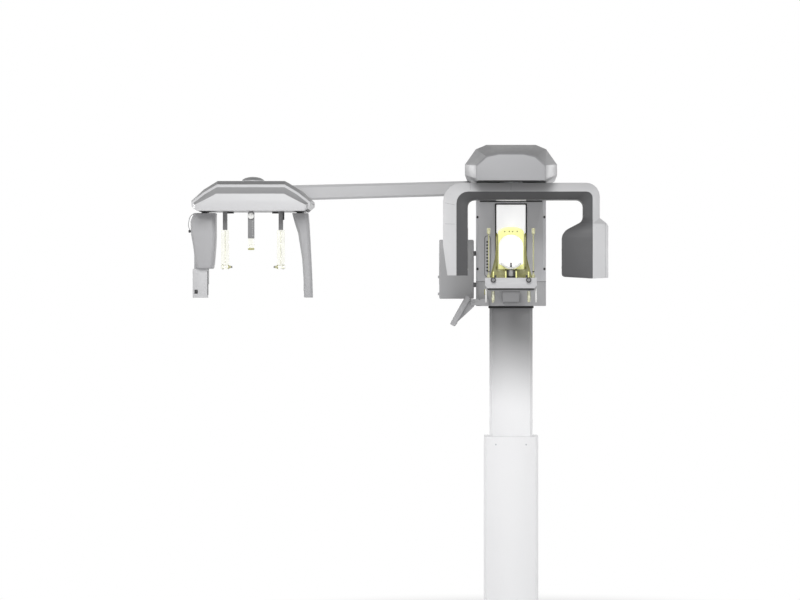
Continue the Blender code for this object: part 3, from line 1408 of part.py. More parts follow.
def build_ear(side, name):
    """A hanger under the turntable, with a translucent blade and its ear plug."""
    x = CEPH_X + side * EAR_X
    top = CEPH_BOTTOM - SEAT
    hanger = box(
        f"ear_hanger_{name}", "shell_dark", (x - EAR_HANGER_HALF, CEPH_Y - 0.010, EAR_HANGER_LOW),
        (x + EAR_HANGER_HALF, CEPH_Y + 0.010, top),
    )
    inside = x - side * 0.036
    join(hanger, box(
        f"ear_foot_{name}", "black", (min(x, inside), CEPH_Y - 0.012, top - 0.006),
        (max(x, inside), CEPH_Y + 0.012, top), hidden=True,
    ))
    blade = box(
        f"ear_rod_{name}", "amber", (x - EAR_BLADE_HALF, CEPH_Y - 0.003, EAR_AXIS),
        (x + EAR_BLADE_HALF, CEPH_Y + 0.003, EAR_HANGER_LOW - SEAT),
    )
    start = x + side * 0.018
    neck = x - side * 0.014
    tip = x - side * 0.028
    plug = turned(
        f"ear_plug_{name}", "amber",
        [
            (0.0, abs(start - x)), (0.0085, abs(start - x)), (0.0085, -abs(neck - x)),
            (0.004, -abs(neck - x) - 0.004),
            (0.0032, -abs(tip - x)), (0.0, -abs(tip - x)),
        ],
        (x, CEPH_Y, EAR_AXIS), steps=16, hidden=True,
    )
    plug.rotation_euler = (0.0, side * math.pi / 2, 0.0)
    join(blade, plug)
    pivot(f"ear_slide_{name}", (x, CEPH_Y, top), hanger, blade)


def build_nasion(hanger_y):
    """The bar that rests on the bridge of the nose, its lock knob and its soft tip."""
    front = hanger_y - 0.0095
    knob_z = NASION_KNOB_Z
    bar = box(
        "nasion_bar", "shell_dark", (CEPH_X - NASION_HALF, front, 1.832),
        (CEPH_X + NASION_HALF, hanger_y - SEAT, 1.946),
    )
    cut(bar, cylinder(
        "nasion_knob_hole", "black", 0.0045 + RUN, (CEPH_X, front - 0.01, knob_z),
        (CEPH_X, hanger_y - 0.0015, knob_z), 12,
        hidden=True,
    ))
    knob = turned(
        "nasion_knob", "white",
        [
            (0.0, 0.007), (0.0045, 0.007), (0.0045, -SEAT), (0.0147, -SEAT), (0.0147, -0.010),
            (0.0120, -0.013), (0.0, -0.013),
        ],
        (CEPH_X, front, knob_z), steps=20,
    )
    knob.rotation_euler = (-math.pi / 2, 0.0, 0.0)
    pivot("nasion_knob_axis", (CEPH_X, front, knob_z), knob)
    tip = box(
        "nasion_tip", "amber", (CEPH_X - 0.0135, front + 0.001, 1.790),
        (CEPH_X + 0.0135, hanger_y - 0.001, 1.832 - SEAT),
    )
    join(tip, cylinder(
        "nasion_pad", "rubber", 0.012, (CEPH_X, front + 0.002, 1.794), (CEPH_X, hanger_y + 0.018, 1.794),
        14, hidden=True,
    ))
    pivot("nasion_slide", (CEPH_X, hanger_y, knob_z), bar, tip)


def leg_rings(stations):
    """Cross-sections of a leg: (height, left x, right x, half depth), with cut corners."""
    rings = []
    for height, left, right, depth in stations:
        corner = min(0.012, (right - left) / 4)
        rings.append([
            (left + corner, CEPH_Y - depth, height), (right - corner, CEPH_Y - depth, height),
            (right, CEPH_Y - depth + corner, height), (right, CEPH_Y + depth - corner, height),
            (right - corner, CEPH_Y + depth, height), (left + corner, CEPH_Y + depth, height),
            (left, CEPH_Y + depth - corner, height), (left, CEPH_Y - depth + corner, height),
        ])
    return rings


def build_legs():
    neck_top = RAIL_Z + RAIL_RADIUS + 0.008
    sensor_leg = loft("sensor_leg", "shell_light", leg_rings([
        (LEG_TOP, -1.4075, -1.3120, LEG_DEPTH), (1.910, -1.4230, -1.3120, LEG_DEPTH),
        (1.850, -1.4200, -1.3120, LEG_DEPTH),
        (1.802, -1.4115, -1.3135, LEG_DEPTH), (1.721, -1.4010, -1.3200, LEG_DEPTH - 0.002),
        (1.703, -1.3960, -1.3230, LEG_DEPTH - 0.006),
        (SENSOR_LEG_LOW, -1.3930, -1.3260, LEG_DEPTH - 0.010),
    ]))
    collimator_leg = loft("collimator_leg", "shell_light", leg_rings([
        (LEG_TOP, -0.9720, -0.9015, 0.040), (1.900, -0.9600, -0.8980, 0.040),
        (1.857, -0.9460, -0.8950, 0.038),
        (1.800, -0.9370, -0.8920, 0.036), (1.7425, -0.9280, -0.8890, 0.034), (1.660, -0.9225, -0.8850, 0.032),
        (1.571, -0.9200, -0.8820, 0.030),
    ]))
    for leg, x, name in ((sensor_leg, SENSOR_X, "sensor"), (collimator_leg, COLLIMATOR_X, "collimator")):
        join(leg, box(
            f"{name}_neck", "black", (x - NECK_HALF, CEPH_Y - NECK_HALF, LEG_TOP - 0.01),
            (x + NECK_HALF, CEPH_Y + NECK_HALF, neck_top), hidden=True,
        ))
        cut(leg, cylinder(
            f"{name}_bushing", "black", RAIL_RADIUS + RUN, (x, CEPH_Y - 0.05, RAIL_Z),
            (x, CEPH_Y + 0.05, RAIL_Z), 14, hidden=True,
        ))
    cassette = box(
        "sensor_cassette", "shell_grey", (CASSETTE_LEFT, CEPH_Y - 0.020, CASSETTE_LOW),
        (CASSETTE_RIGHT, CEPH_Y + 0.020, SENSOR_LEG_LOW - SEAT),
    )
    join(cassette, box(
        "cassette_carrier", "shell_grey", (CASSETTE_LEFT, CEPH_Y + 0.016, CASSETTE_LOW + 0.060),
        (CASSETTE_RIGHT, CEPH_Y + LEG_DEPTH + 0.010, SENSOR_LEG_LOW - 0.004), hidden=True,
    ))
    join(cassette, box(
        "cassette_back_plate", "shell_grey", (CASSETTE_LEFT, CEPH_Y + LEG_DEPTH + SEAT,
        SENSOR_LEG_LOW - 0.020),
        (CASSETTE_RIGHT, CEPH_Y + LEG_DEPTH + 0.010, CASSETTE_HIGH), hidden=True,
    ))


def main():
    global parts, cutters
    clear_scene()
    parts = make_collection("dental_cone_beam_ct_scanner")
    cutters = make_collection("cutters", hidden=True)
    make_materials()
    build_base()
    build_column()
    build_carriage()
    ring_top, ring_low, motor_low = build_head()
    build_gantry(ring_top, ring_low)
    build_motor_pulley(motor_low)
    build_support()
    build_panel()
    build_side_box()
    build_ceph()


main()
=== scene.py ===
import math

import bmesh
import bpy
from mathutils import Matrix, Vector
from mathutils.bvhtree import BVHTree


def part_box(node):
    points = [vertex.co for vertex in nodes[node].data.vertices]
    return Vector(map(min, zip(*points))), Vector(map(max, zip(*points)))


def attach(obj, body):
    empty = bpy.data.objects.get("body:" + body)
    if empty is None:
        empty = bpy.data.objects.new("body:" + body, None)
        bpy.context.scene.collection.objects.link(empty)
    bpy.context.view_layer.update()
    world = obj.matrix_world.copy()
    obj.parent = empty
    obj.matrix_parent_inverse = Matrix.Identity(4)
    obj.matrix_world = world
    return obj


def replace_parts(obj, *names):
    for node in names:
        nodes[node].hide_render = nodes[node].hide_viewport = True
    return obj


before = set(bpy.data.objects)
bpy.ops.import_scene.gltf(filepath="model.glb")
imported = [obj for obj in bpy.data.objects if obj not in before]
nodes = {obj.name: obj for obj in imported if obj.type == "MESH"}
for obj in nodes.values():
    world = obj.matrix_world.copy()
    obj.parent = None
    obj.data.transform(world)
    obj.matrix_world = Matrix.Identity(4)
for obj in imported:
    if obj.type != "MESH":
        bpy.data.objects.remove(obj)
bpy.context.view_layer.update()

scene = bpy.context.scene
home = scene.collection

# The machine's directions: x to the right as the photograph shows it, y to the back, z up.
toLeft, toRight = (-1.0, 0.0, 0.0), (1.0, 0.0, 0.0)
toFront, toBack = (0.0, -1.0, 0.0), (0.0, 1.0, 0.0)
toFloor, toTop = (0.0, 0.0, -1.0), (0.0, 0.0, 1.0)
bothSides = ((-1, "left"), (1, "right"))


# One number or colour between nodes: the usual operators add the Math nodes.
class Wire:
    def __init__(self, nodeSet, socket):
        self.nodeSet = nodeSet
        self.socket = socket

    def join(self, operation, first, second):
        return self.nodeSet.node("ShaderNodeMath", {"operation": operation}, {0: first, 1: second})

    def __add__(self, other):
        return self.join("ADD", self, other)

    def __sub__(self, other):
        return self.join("SUBTRACT", self, other)

    def __rsub__(self, other):
        return self.join("SUBTRACT", other, self)

    def __mul__(self, other):
        return self.join("MULTIPLY", self, other)

    __radd__, __rmul__ = __add__, __mul__

    def higher(self, other):
        return self.join("MAXIMUM", self, other)


class NodeSet:
    def __init__(self, tree):
        self.tree = tree

    def node(self, kind, settings=None, values=None, out=0):
        made = self.tree.nodes.new(kind)
        for key, value in (settings or {}).items():
            if key == "stops":
                for element, (place, shade) in zip(made.color_ramp.elements, value):
                    element.position = place
                    element.color = (shade, shade, shade, 1.0)
            else:
                setattr(made, key, value)
        for key, value in (values or {}).items():
            if isinstance(value, Wire):
                self.tree.links.new(value.socket, made.inputs[key])
            else:
                made.inputs[key].default_value = value
        return Wire(self, made.outputs[out])


class Paint(NodeSet):
    def __init__(self, name, **fixed):
        self.material = bpy.data.materials.new(name)
        self.material.use_nodes = True
        super().__init__(self.material.node_tree)
        self.shader = self.tree.nodes["Principled BSDF"]
        for label, value in fixed.items():
            self.shader.inputs[label.replace("_", " ")].default_value = value

    def place(self, stretch=(1.0, 1.0, 1.0)):
        here = self.node("ShaderNodeTexCoord", out=3)
        return self.node("ShaderNodeMapping", None, {0: here, 3: stretch})

    def noise(self, scale, detail=3.0, rough=0.5, stretch=(1.0, 1.0, 1.0)):
        values = {"Vector": self.place(stretch), "Scale": scale, "Detail": detail, "Roughness": rough}
        return self.node("ShaderNodeTexNoise", None, values)

    def cells(self, scale):
        return self.node("ShaderNodeTexVoronoi", None, {"Vector": self.place(), "Scale": scale})

    def ramp(self, value, *stops):
        return self.node("ShaderNodeValToRGB", {"stops": stops}, {0: value})

    def mix(self, share, *ends):
        first, second = ((*shade, 1.0) if isinstance(shade, tuple) else shade for shade in ends)
        return self.node("ShaderNodeMix", {"data_type": "RGBA"}, {0: share, 6: first, 7: second}, 2)

    def fade(self, value, start, end):
        return self.node("ShaderNodeMapRange", {"interpolation_type": "SMOOTHSTEP"}, {0: value, 1: start, 2: end})

    def feed(self, label, wire):
        self.tree.links.new(wire.socket, self.shader.inputs[label])

    def bump(self, height, strength, distance):
        values = {"Strength": strength, "Distance": distance, "Height": height}
        self.feed("Normal", self.node("ShaderNodeBump", None, values))


def darker(shade, share):
    return tuple(part * share for part in shade)


# Moulded covers, one row each: colour, roughness, shine, grain scale and depth, handling marks,
# painted shade on faces that look up, dust that lies there, and the dust's colour.
mouldedLooks = {
    "shellLight": ((0.54, 0.54, 0.55), 0.36, 0.5, 900.0, 0.16, 0.1, 0.25, 0.1, (0.56, 0.55, 0.53)),
    "shellPale": ((0.6, 0.6, 0.61), 0.32, 0.5, 950.0, 0.13, 0.08, 0.2, 0.1, (0.62, 0.61, 0.59)),
    # cephPale is the pale shell again, with strong painted shade on its upward bevels.
    "cephPale": ((0.6, 0.6, 0.61), 0.34, 0.5, 950.0, 0.13, 0.08, 0.95, 0.08, (0.46, 0.45, 0.43)),
    "legGrey": ((0.4, 0.4, 0.41), 0.36, 0.5, 900.0, 0.15, 0.1, 0.3, 0.08, (0.5, 0.49, 0.47)),
    "bodyGrey": ((0.58, 0.58, 0.6), 0.4, 0.45, 850.0, 0.17, 0.14, 0.3, 0.12, (0.52, 0.51, 0.5)),
    "shellGrey": ((0.42, 0.42, 0.43), 0.42, 0.45, 850.0, 0.18, 0.16, 0.3, 0.12, (0.5, 0.49, 0.48)),
    "headGrey": ((0.34, 0.34, 0.35), 0.36, 0.5, 850.0, 0.16, 0.12, 0.75, 0.1, (0.42, 0.41, 0.4)),
    "panelGrey": ((0.22, 0.22, 0.225), 0.44, 0.45, 800.0, 0.2, 0.16, 0.1, 0.1, (0.3, 0.295, 0.29)),
    "shellDark": ((0.08, 0.08, 0.083), 0.46, 0.4, 800.0, 0.22, 0.2, 0.1, 0.1, (0.25, 0.245, 0.24)),
    "trimBlack": ((0.018, 0.018, 0.019), 0.44, 0.45, 1100.0, 0.18, 0.2, 0.0, 0.1, (0.1, 0.1, 0.1)),
    "softWhite": ((0.84, 0.84, 0.82), 0.3, 0.5, 1300.0, 0.08, 0.08, 0.0, 0.06, (0.7, 0.69, 0.66)),
}


def mouldedFinish(name, colour, roughness, shine, grain, depth, marks, paintedTopShade, dustShare, dustColour):
    paint = Paint(name, Roughness=roughness, Specular_IOR_Level=shine)
    tone = paint.mix(paint.noise(2.3), darker(colour, 0.965), colour)
    tone = paint.mix(paint.ramp(paint.noise(17.0, 4.0), (0.45, 0.0), (0.75, marks)), tone, darker(colour, 0.9))
    normal = paint.node("ShaderNodeNewGeometry", out=1)
    up = paint.node("ShaderNodeSeparateXYZ", None, {0: normal}, 2)
    shadeAndDustMask = paint.ramp(up, (0.35, 0.0), (0.8, 1.0))
    # Painted shade: faces that look up are darkened towards about a fifth of their colour.
    tone = paint.mix(shadeAndDustMask * paintedTopShade, tone, darker(colour, 0.22))
    dust = shadeAndDustMask * paint.ramp(paint.noise(60.0, 5.0), (0.35, 0.0), (0.8, 1.0))
    paint.feed("Base Color", paint.mix(dust * dustShare, tone, dustColour))
    smear = paint.ramp(paint.noise(9.0, 5.0, 0.6, (1.0, 1.0, 2.5)), (0.3, 0.0), (0.7, 1.0))
    paint.feed("Roughness", roughness - 0.05 + smear * 0.1 + dust * 0.12)
    paint.bump(paint.noise(grain, 2.0, 0.6) * 0.7 + paint.cells(grain * 0.6) * 0.3, depth, 0.0004)
    return paint.material


# Powder coat on the steel columns and the base plate: orange peel and a few scuffs near the floor.
# On the sliding column the coat carries a painted shadow: grey under the carriage, fading to white at its foot.
powderLook = {"colour": (0.84, 0.84, 0.85), "scuff": (0.46, 0.46, 0.46), "roughness": 0.34, "peel": 420.0,
              "scuffTop": 0.35, "shade": (0.25, 0.25, 0.255), "shadowLow": 1.02, "shadowHigh": 1.54}


def powderFinish(name, paintedShadow):
    colour, scuff, roughness, peel, scuffTop, shade, shadowLow, shadowHigh = powderLook.values()
    paint = Paint(name, Coat_Weight=0.15, Coat_Roughness=0.25)
    tone = paint.mix(paint.noise(3.1), darker(colour, 0.96), colour)
    tone = paint.mix(paint.ramp(paint.noise(900.0, 2.0), (0.3, 0.25), (0.42, 0.0)), tone, darker(colour, 0.8))
    height = paint.node("ShaderNodeSeparateXYZ", None, {0: paint.place()}, 2)
    # Painted shadow: the coat turns grey between the two heights, darkest under the carriage.
    if paintedShadow:
        tone = paint.mix(paint.fade(height, shadowLow, shadowHigh), tone, shade)
    low = 1 - paint.node("ShaderNodeMath", {"operation": "DIVIDE", "use_clamp": True}, {0: height, 1: scuffTop})
    scuffs = low * paint.ramp(paint.noise(24.0, 6.0, 0.7, (1.0, 1.0, 0.25)), (0.56, 0.0), (0.7, 1.0))
    paint.feed("Base Color", paint.mix(scuffs * 0.3, tone, scuff))
    paint.feed("Roughness", roughness + scuffs * 0.25 + paint.noise(11.0) * 0.08)
    paint.bump(paint.noise(peel, 2.0) + paint.noise(1500.0, 1.0) * 0.3, 0.14, 0.0005)
    return paint.material


# Metals, turned or brushed along one direction or blasted: colour, roughness, stretch and scale of
# the lines, and their depth.
metalLooks = {
    "turnedSteel": ((0.56, 0.57, 0.59), 0.3, (1.0, 1.0, 40.0), 60.0, 0.1),
    "blastedAluminium": ((0.7, 0.71, 0.73), 0.42, (1.0, 1.0, 1.0), 1600.0, 0.2),
    "plainSteel": ((0.48, 0.49, 0.51), 0.36, (30.0, 1.0, 30.0), 45.0, 0.08),
    "contactBrass": ((0.78, 0.6, 0.3), 0.28, (1.0, 20.0, 1.0), 300.0, 0.05),
}


def metalFinish(name, colour, roughness, stretch, scale, depth):
    paint = Paint(name, Metallic=1.0)
    lines = paint.noise(scale, 4.0, 0.6, stretch)
    stain = paint.noise(8.0, 4.0)
    tone = paint.mix(lines, darker(colour, 0.86), colour)
    paint.feed("Base Color", paint.mix(paint.ramp(stain, (0.5, 0.0), (0.8, 0.35)), tone, darker(colour, 0.72)))
    paint.feed("Roughness", roughness - 0.06 + lines * 0.12 + stain * 0.08)
    paint.bump(lines, depth, 0.0003)
    return paint.material


# Yellow plastic, from nearly clear to dense, with fine wipe scratches: colour seen face on and at
# grazing edges, share of light let through, roughness, and a slight painted glow that brightens the front plate.
amberLooks = {
    "amberClear": ((1.0, 1.0, 0.46), (0.92, 0.88, 0.26), 0.22, 0.2, 0.16),
    "amberPale": ((0.99, 0.99, 0.8), (0.8, 0.79, 0.42), 0.5, 0.1, 0.0),
    "amberMist": ((1.0, 1.0, 0.93), (0.9, 0.89, 0.66), 0.92, 0.05, 0.0),
    "amberRod": ((0.72, 0.71, 0.42), (0.45, 0.44, 0.2), 0.35, 0.14, 0.0),
    "amberDeep": ((0.3, 0.29, 0.07), (0.18, 0.17, 0.03), 0.2, 0.22, 0.0),
    # The olive yellow is painted shade: the same plastic, darkened as it looks against the grey body.
    "amberShade": ((0.46, 0.45, 0.2), (0.3, 0.29, 0.08), 0.15, 0.26, 0.0),
}


def amberFinish(name, face, edge, through, roughness, glow):
    # The emission in the face colour is painted light: a glow on the front plate.
    paint = Paint(name, IOR=1.45, Transmission_Weight=through, Emission_Color=(*face, 1.0), Emission_Strength=glow)
    tone = paint.mix(paint.node("ShaderNodeLayerWeight", None, {0: 0.35}, 1), face, edge)
    haze = paint.ramp(paint.noise(40.0, 4.0), (0.5, 0.0), (0.8, 0.18))
    paint.feed("Base Color", paint.mix(haze, tone, darker(face, 0.8)))
    wipe = paint.noise(30.0, 6.0, 0.7, (6.0, 6.0, 1.0))
    paint.feed("Roughness", roughness + paint.ramp(wipe, (0.55, 0.0), (0.75, 1.0)) * 0.14)
    paint.bump(wipe, 0.04, 0.0004)
    return paint.material


# The mirror, plain white as in the photograph: a satin front with a weak painted glow that keeps it white in shade.
mirrorLook = {"colour": (0.97, 0.97, 0.97), "metal": 0.15, "roughness": 0.34, "smudge": 0.1, "glow": 0.5}


def mirrorFinish(name):
    colour, metal, roughness, smudge, glow = mirrorLook.values()
    # The emission is painted light, which keeps the sheet white where it lies in shade.
    paint = Paint(name, Metallic=metal, Emission_Color=(1.0, 1.0, 1.0, 1.0), Emission_Strength=glow)
    haze = paint.ramp(paint.noise(13.0, 5.0, 0.6), (0.52, 0.0), (0.75, 1.0))
    paint.feed("Base Color", paint.mix(haze * 0.25, colour, darker(colour, 0.94)))
    paint.feed("Roughness", roughness + haze * smudge)
    return paint.material


# Dark glass of the touch screen and the laser ports, with finger marks.
screenLook = {"colour": (0.01, 0.012, 0.016), "smear": (0.035, 0.037, 0.042), "print": 0.22, "roughness": 0.06}


def screenFinish(name):
    colour, smear, fingerprint, roughness = screenLook.values()
    paint = Paint(name, Specular_IOR_Level=0.6, Coat_Weight=0.6, Coat_Roughness=0.04)
    touch = paint.ramp(paint.cells(42.0), (0.05, 1.0), (0.35, 0.0))
    touch = touch * paint.ramp(paint.noise(22.0, 4.0), (0.5, 0.0), (0.7, 1.0))
    paint.feed("Base Color", paint.mix(touch * 0.2, colour, smear))
    paint.feed("Roughness", roughness + touch * fingerprint)
    return paint.material


rubberLook = {"colour": (0.022, 0.022, 0.022), "chalk": (0.09, 0.088, 0.085), "roughness": 0.72}


def rubberFinish(name):
    colour, chalk, roughness = rubberLook.values()
    paint = Paint(name, Specular_IOR_Level=0.35)
    bloom = paint.ramp(paint.noise(26.0, 6.0, 0.7), (0.5, 0.0), (0.8, 1.0))
    paint.feed("Base Color", paint.mix(bloom * 0.4, colour, chalk))
    paint.feed("Roughness", roughness + bloom * 0.12)
    paint.bump(paint.noise(1400.0, 2.0), 0.22, 0.0004)
    return paint.material


finishes = {"columnPaint": powderFinish("columnPaint", False), "slidePaint": powderFinish("slidePaint", True),
            "silveredSheet": mirrorFinish("silveredSheet"), "screenGlass": screenFinish("screenGlass"),
            "matRubber": rubberFinish("matRubber")}
for looks, finish in ((mouldedLooks, mouldedFinish), (metalLooks, metalFinish), (amberLooks, amberFinish)):
    for finishName, row in looks.items():
        finishes[finishName] = finish(finishName, *row)
print("finishes made:", len(finishes))


# Shading that is smooth over curved faces and sharp at edges, added as a modifier.
def smoothGroup(sharpest=24.0):
    group = bpy.data.node_groups.new("smoothByAngle", "GeometryNodeTree")
    for way in ("INPUT", "OUTPUT"):
        group.interface.new_socket("Geometry", in_out=way, socket_type="NodeSocketGeometry")
    made = NodeSet(group)
    faces = made.node("GeometryNodeSetShadeSmooth", None, {0: made.node("NodeGroupInput")})
    angle = made.node("GeometryNodeInputMeshEdgeAngle")
    sharp = made.node("FunctionNodeCompare", {"operation": "GREATER_THAN"}, {0: angle, 1: math.radians(sharpest)})
    edges = made.node("GeometryNodeSetShadeSmooth", {"domain": "EDGE"},
                      {0: faces, "Selection": sharp, "Shade Smooth": False})
    group.links.new(edges.socket, group.nodes.new("NodeGroupOutput").inputs[0])
    return group


smoothing = smoothGroup()


def soften(thing, width, steps):
    weld = thing.modifiers.new("weld", "WELD")
    weld.merge_threshold = 0.00002
    if width:
        bevel = thing.modifiers.new("softEdges", "BEVEL")
        bevel.width = width
        bevel.segments = steps
        bevel.limit_method = "ANGLE"
        bevel.angle_limit = math.radians(28)
        bevel.use_clamp_overlap = True
        bevel.miter_outer = "MITER_ARC"
    even = thing.modifiers.new("smoothByAngle", "NODES")
    even.node_group = smoothing


# Every node's finish, and the radius of its edges.
nodeLooks = {
    "columnPaint": {0.0012: "base_plate", 0.002: "lower_column"},
    "slidePaint": {0.002: "upper_column"},
    "softWhite": {0.0006: "upper_glide_ring nasion_knob", 0.0008: "chin_cup"},
    "blastedAluminium": {0.0: "lift_actuator x_ray_tube_head", 0.0003: "motor_pulley", 0.0006: "ceph_chassis",
                         0.001: "gantry_frame"},
    "turnedSteel": {0.0005: "gantry_hub", 0.0006: "lift_rod slewing_ring"},
    "plainSteel": {0.0006: "collimator", 0.001: "head_arm"},
    "trimBlack": {0.0005: "mains_inlet", 0.0006: "rotation_motor", 0.001: "flat_panel_detector",
                  0.0012: "mirror_frame"},
    "matRubber": {0.0003: "drive_belt", 0.0004: "mains_switch"},
    "silveredSheet": {0.0004: "mirror"},
    "screenGlass": {0.0004: "touch_screen"},
    "bodyGrey": {0.0005: "speaker_panel", 0.0012: "carriage_back_cover carriage_front_cover"},
    "headGrey": {0.0016: "head_cover"},
    "shellDark": {0.0006: "head_under_cover", 0.0016: "gantry_inner_cover"},
    "shellPale": {0.0016: "gantry_outer_cover ceph_beam"},
    "cephPale": {0.0016: "ceph_housing"},
    "shellLight": {0.0012: "sensor_cassette", 0.002: "chin_table"},
    "legGrey": {0.002: "sensor_leg collimator_leg"},
    "panelGrey": {0.0008: "ear_hanger_left ear_hanger_right nasion_bar", 0.002: "chin_arm"},
    # carriage_lower_cover takes this darker grey as painted shade, so it looks as dark as the shaded front cover
    # above.
    "shellGrey": {0.0: "touch_panel_housing", 0.0005: "temple_knob_left temple_knob_right ceph_under_plate",
                  0.0006: "chin_post ceph_turntable", 0.001: "side_box",
                  0.0012: "carriage_lower_cover touch_panel_bracket"},
    "amberClear": {0.0006: "head_band"},
    "amberRod": {0.0006: "temple_rod_left temple_rod_right"},
    "amberPale": {0.0: "hand_grip_left hand_grip_right"},
    "amberMist": {0.0005: "ear_rod_left ear_rod_right", 0.0006: "nasion_tip"},
}
for finishName, edges in nodeLooks.items():
    for edge, names in edges.items():
        for name in names.split():
            for place in nodes[name].material_slots:
                place.material = finishes[finishName]
            soften(nodes[name], edge, 3)
finished = sum(len(names.split()) for edges in nodeLooks.values() for names in edges.values())
print("nodes finished:", finished, "of", len(nodes))

# The camera stands far back on the machine's middle line, as the photograph's long lens did.
cameraLook = {"distance": 14.0, "gantryY": -0.61, "eye": 1.56, "metresPerPixel": 0.00445, "axisPixel": 511,
              "width": 800, "film": 36.0}


def aimCamera():
    distance, gantryY, eye, metresPerPixel, axisPixel, width, film = cameraLook.values()
    view = bpy.data.cameras.new("photoCamera")
    view.sensor_width = film
    view.lens = film * distance / (width * metresPerPixel)
    view.shift_x = (width / 2 - axisPixel) / width
    view.clip_end = 60.0
    camera = bpy.data.objects.new("photoCamera", view)
    home.objects.link(camera)
    camera.location = (0.0, gantryY - distance, eye)
    camera.rotation_euler = (math.pi / 2, 0.0, 0.0)
    scene.camera = camera


aimCamera()
print("camera set")

# Studio: a pale floor that fades to white for the camera, soft boxes (where they stand, what they
# point at, size and power), and even white air.
floorLook = {"first": (0.8, 0.8, 0.8), "second": (0.84, 0.84, 0.84), "fadeFrom": 1.1, "fadeTo": 2.2, "radius": 40.0}
studioLights = {
    "keyBox": ((-0.8, -7.2, 5.4), (-0.3, -0.3, 1.5), 3.4, 330.0),
    "leftBox": ((-7.5, -3.2, 2.0), (-0.4, -0.5, 1.6), 3.2, 84.0),
    "rightBox": ((7.2, -3.2, 2.0), (-0.2, -0.5, 1.6), 3.2, 84.0),
    "frontBox": ((0.2, -9.5, 1.2), (0.0, -0.5, 1.4), 3.0, 72.0),
    "rimLeft": ((-5.0, 3.6, 2.6), (-0.4, -0.3, 1.6), 2.4, 80.0),
    "rimRight": ((4.6, 3.6, 2.6), (0.0, -0.3, 1.6), 2.4, 80.0),
}
airLook = {"light": 0.25, "background": 1.0}
white = (1.0, 1.0, 1.0, 1.0)


def floorFinish():
    paint = Paint("paleFloor", Roughness=0.6, Specular_IOR_Level=0.3)
    paint.feed("Base Color", paint.mix(paint.noise(1.5), floorLook["first"], floorLook["second"]))
    far = paint.node("ShaderNodeVectorMath", {"operation": "LENGTH"}, {0: paint.place()}, 1)
    away = paint.fade(far, floorLook["fadeFrom"], floorLook["fadeTo"])
    seen, glossy = (paint.node("ShaderNodeLightPath", out=f"Is {ray} Ray") for ray in ("Camera", "Glossy"))
    glow = paint.node("ShaderNodeEmission", None, {0: white, 1: 1.0})
    surface = paint.node("ShaderNodeMixShader", None,
                         {0: away * seen.higher(glossy), 1: Wire(paint, paint.shader.outputs[0]), 2: glow})
    paint.tree.links.new(surface.socket, paint.tree.nodes["Material Output"].inputs[0])
    return paint.material


def studio():
    mesh = bpy.data.meshes.new("studioFloor")
    shape = bmesh.new()
    bmesh.ops.create_circle(shape, cap_ends=True, segments=64, radius=floorLook["radius"])
    shape.to_mesh(mesh)
    shape.free()
    floor = bpy.data.objects.new("studioFloor", mesh)
    home.objects.link(floor)
    mesh.materials.append(floorFinish())

    for name, (at, to, size, power) in studioLights.items():
        lamp = bpy.data.lights.new(name, "AREA")
        lamp.shape = "SQUARE"
        lamp.size = size
        lamp.energy = power
        stand = bpy.data.objects.new(name, lamp)
        home.objects.link(stand)
        stand.location = at
        stand.rotation_euler = (Vector(to) - Vector(at)).to_track_quat("-Z", "Y").to_euler()

    world = bpy.data.worlds.new("studioAir")
    scene.world = world
    world.use_nodes = True
    air = NodeSet(world.node_tree)
    seen, through, glossy = (air.node("ShaderNodeLightPath", out=f"Is {ray} Ray")
                             for ray in ("Camera", "Transmission", "Glossy"))
    strength = air.node("ShaderNodeMapRange", None,
                        {0: seen.higher(through).higher(glossy), 3: airLook["light"], 4: airLook["background"]})
    background = world.node_tree.nodes["Background"]
    background.inputs[0].default_value = white
    world.node_tree.links.new(strength.socket, background.inputs[1])
    scene.view_settings.view_transform = "Standard"


studio()
print("studio lit")


# Mesh helpers for the small pieces that are only here.
def joinPiece(name, data, finish, body):
    piece = bpy.data.objects.new(name, data)
    home.objects.link(piece)
    data.materials.append(finishes[finish])
    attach(piece, body)
    return piece


def finishPiece(name, shape, finish, body, width=0.0):
    bmesh.ops.recalc_face_normals(shape, faces=shape.faces)
    mesh = bpy.data.meshes.new(name)
    shape.to_mesh(mesh)
    shape.free()
    piece = joinPiece(name, mesh, finish, body)
    soften(piece, width, 2)
    return piece


def walls(shape, rings):
    for first, second in zip(rings, rings[1:]):
        for step in range(len(first)):
            after = (step + 1) % len(first)
            shape.faces.new((first[step], first[after], second[after], second[step]))


def closed(shape, rings):
    walls(shape, rings)
    shape.faces.new(rings[0])
    shape.faces.new(rings[-1])


# A turned form: (radius, height) pairs about an axis; from ring number socket on it has six flats.
def spin(shape, profile, place, toward, steps, socket=None):
    turn = Vector(toward).to_track_quat("Z", "Y").to_matrix()
    rings = []
    for number, (radius, height) in enumerate(profile):
        ring = []
        for step in range(steps):
            angle = 2 * math.pi * step / steps
            reach = radius
            if socket is not None and number >= socket:
                reach = radius * math.cos(math.pi / 6) / math.cos(angle % (math.pi / 3) - math.pi / 6)
            point = Vector((reach * math.cos(angle), reach * math.sin(angle), height))
            ring.append(shape.verts.new(Vector(place) + turn @ point))
        rings.append(ring)
    closed(shape, rings)


def turned(name, finish, body, profile, places, toward, steps):
    shape = bmesh.new()
    for place in places:
        spin(shape, profile, place, toward, steps)
    return finishPiece(name, shape, finish, body)


def screw(shape, place, toward, radius, height):
    spin(shape, [(radius * 0.96, -0.0006), (radius, 0.0), (radius, height * 0.6), (radius * 0.84, height),
                 (radius * 0.5, height), (radius * 0.46, height * 0.8), (radius * 0.44, height * 0.15)],
         place, toward, 18, socket=4)


def screws(name, body, places, toward, radius, height, finish="plainSteel"):
    shape = bmesh.new()
    for place in places:
        screw(shape, place, toward, radius, height)
    return finishPiece(name, shape, finish, body)


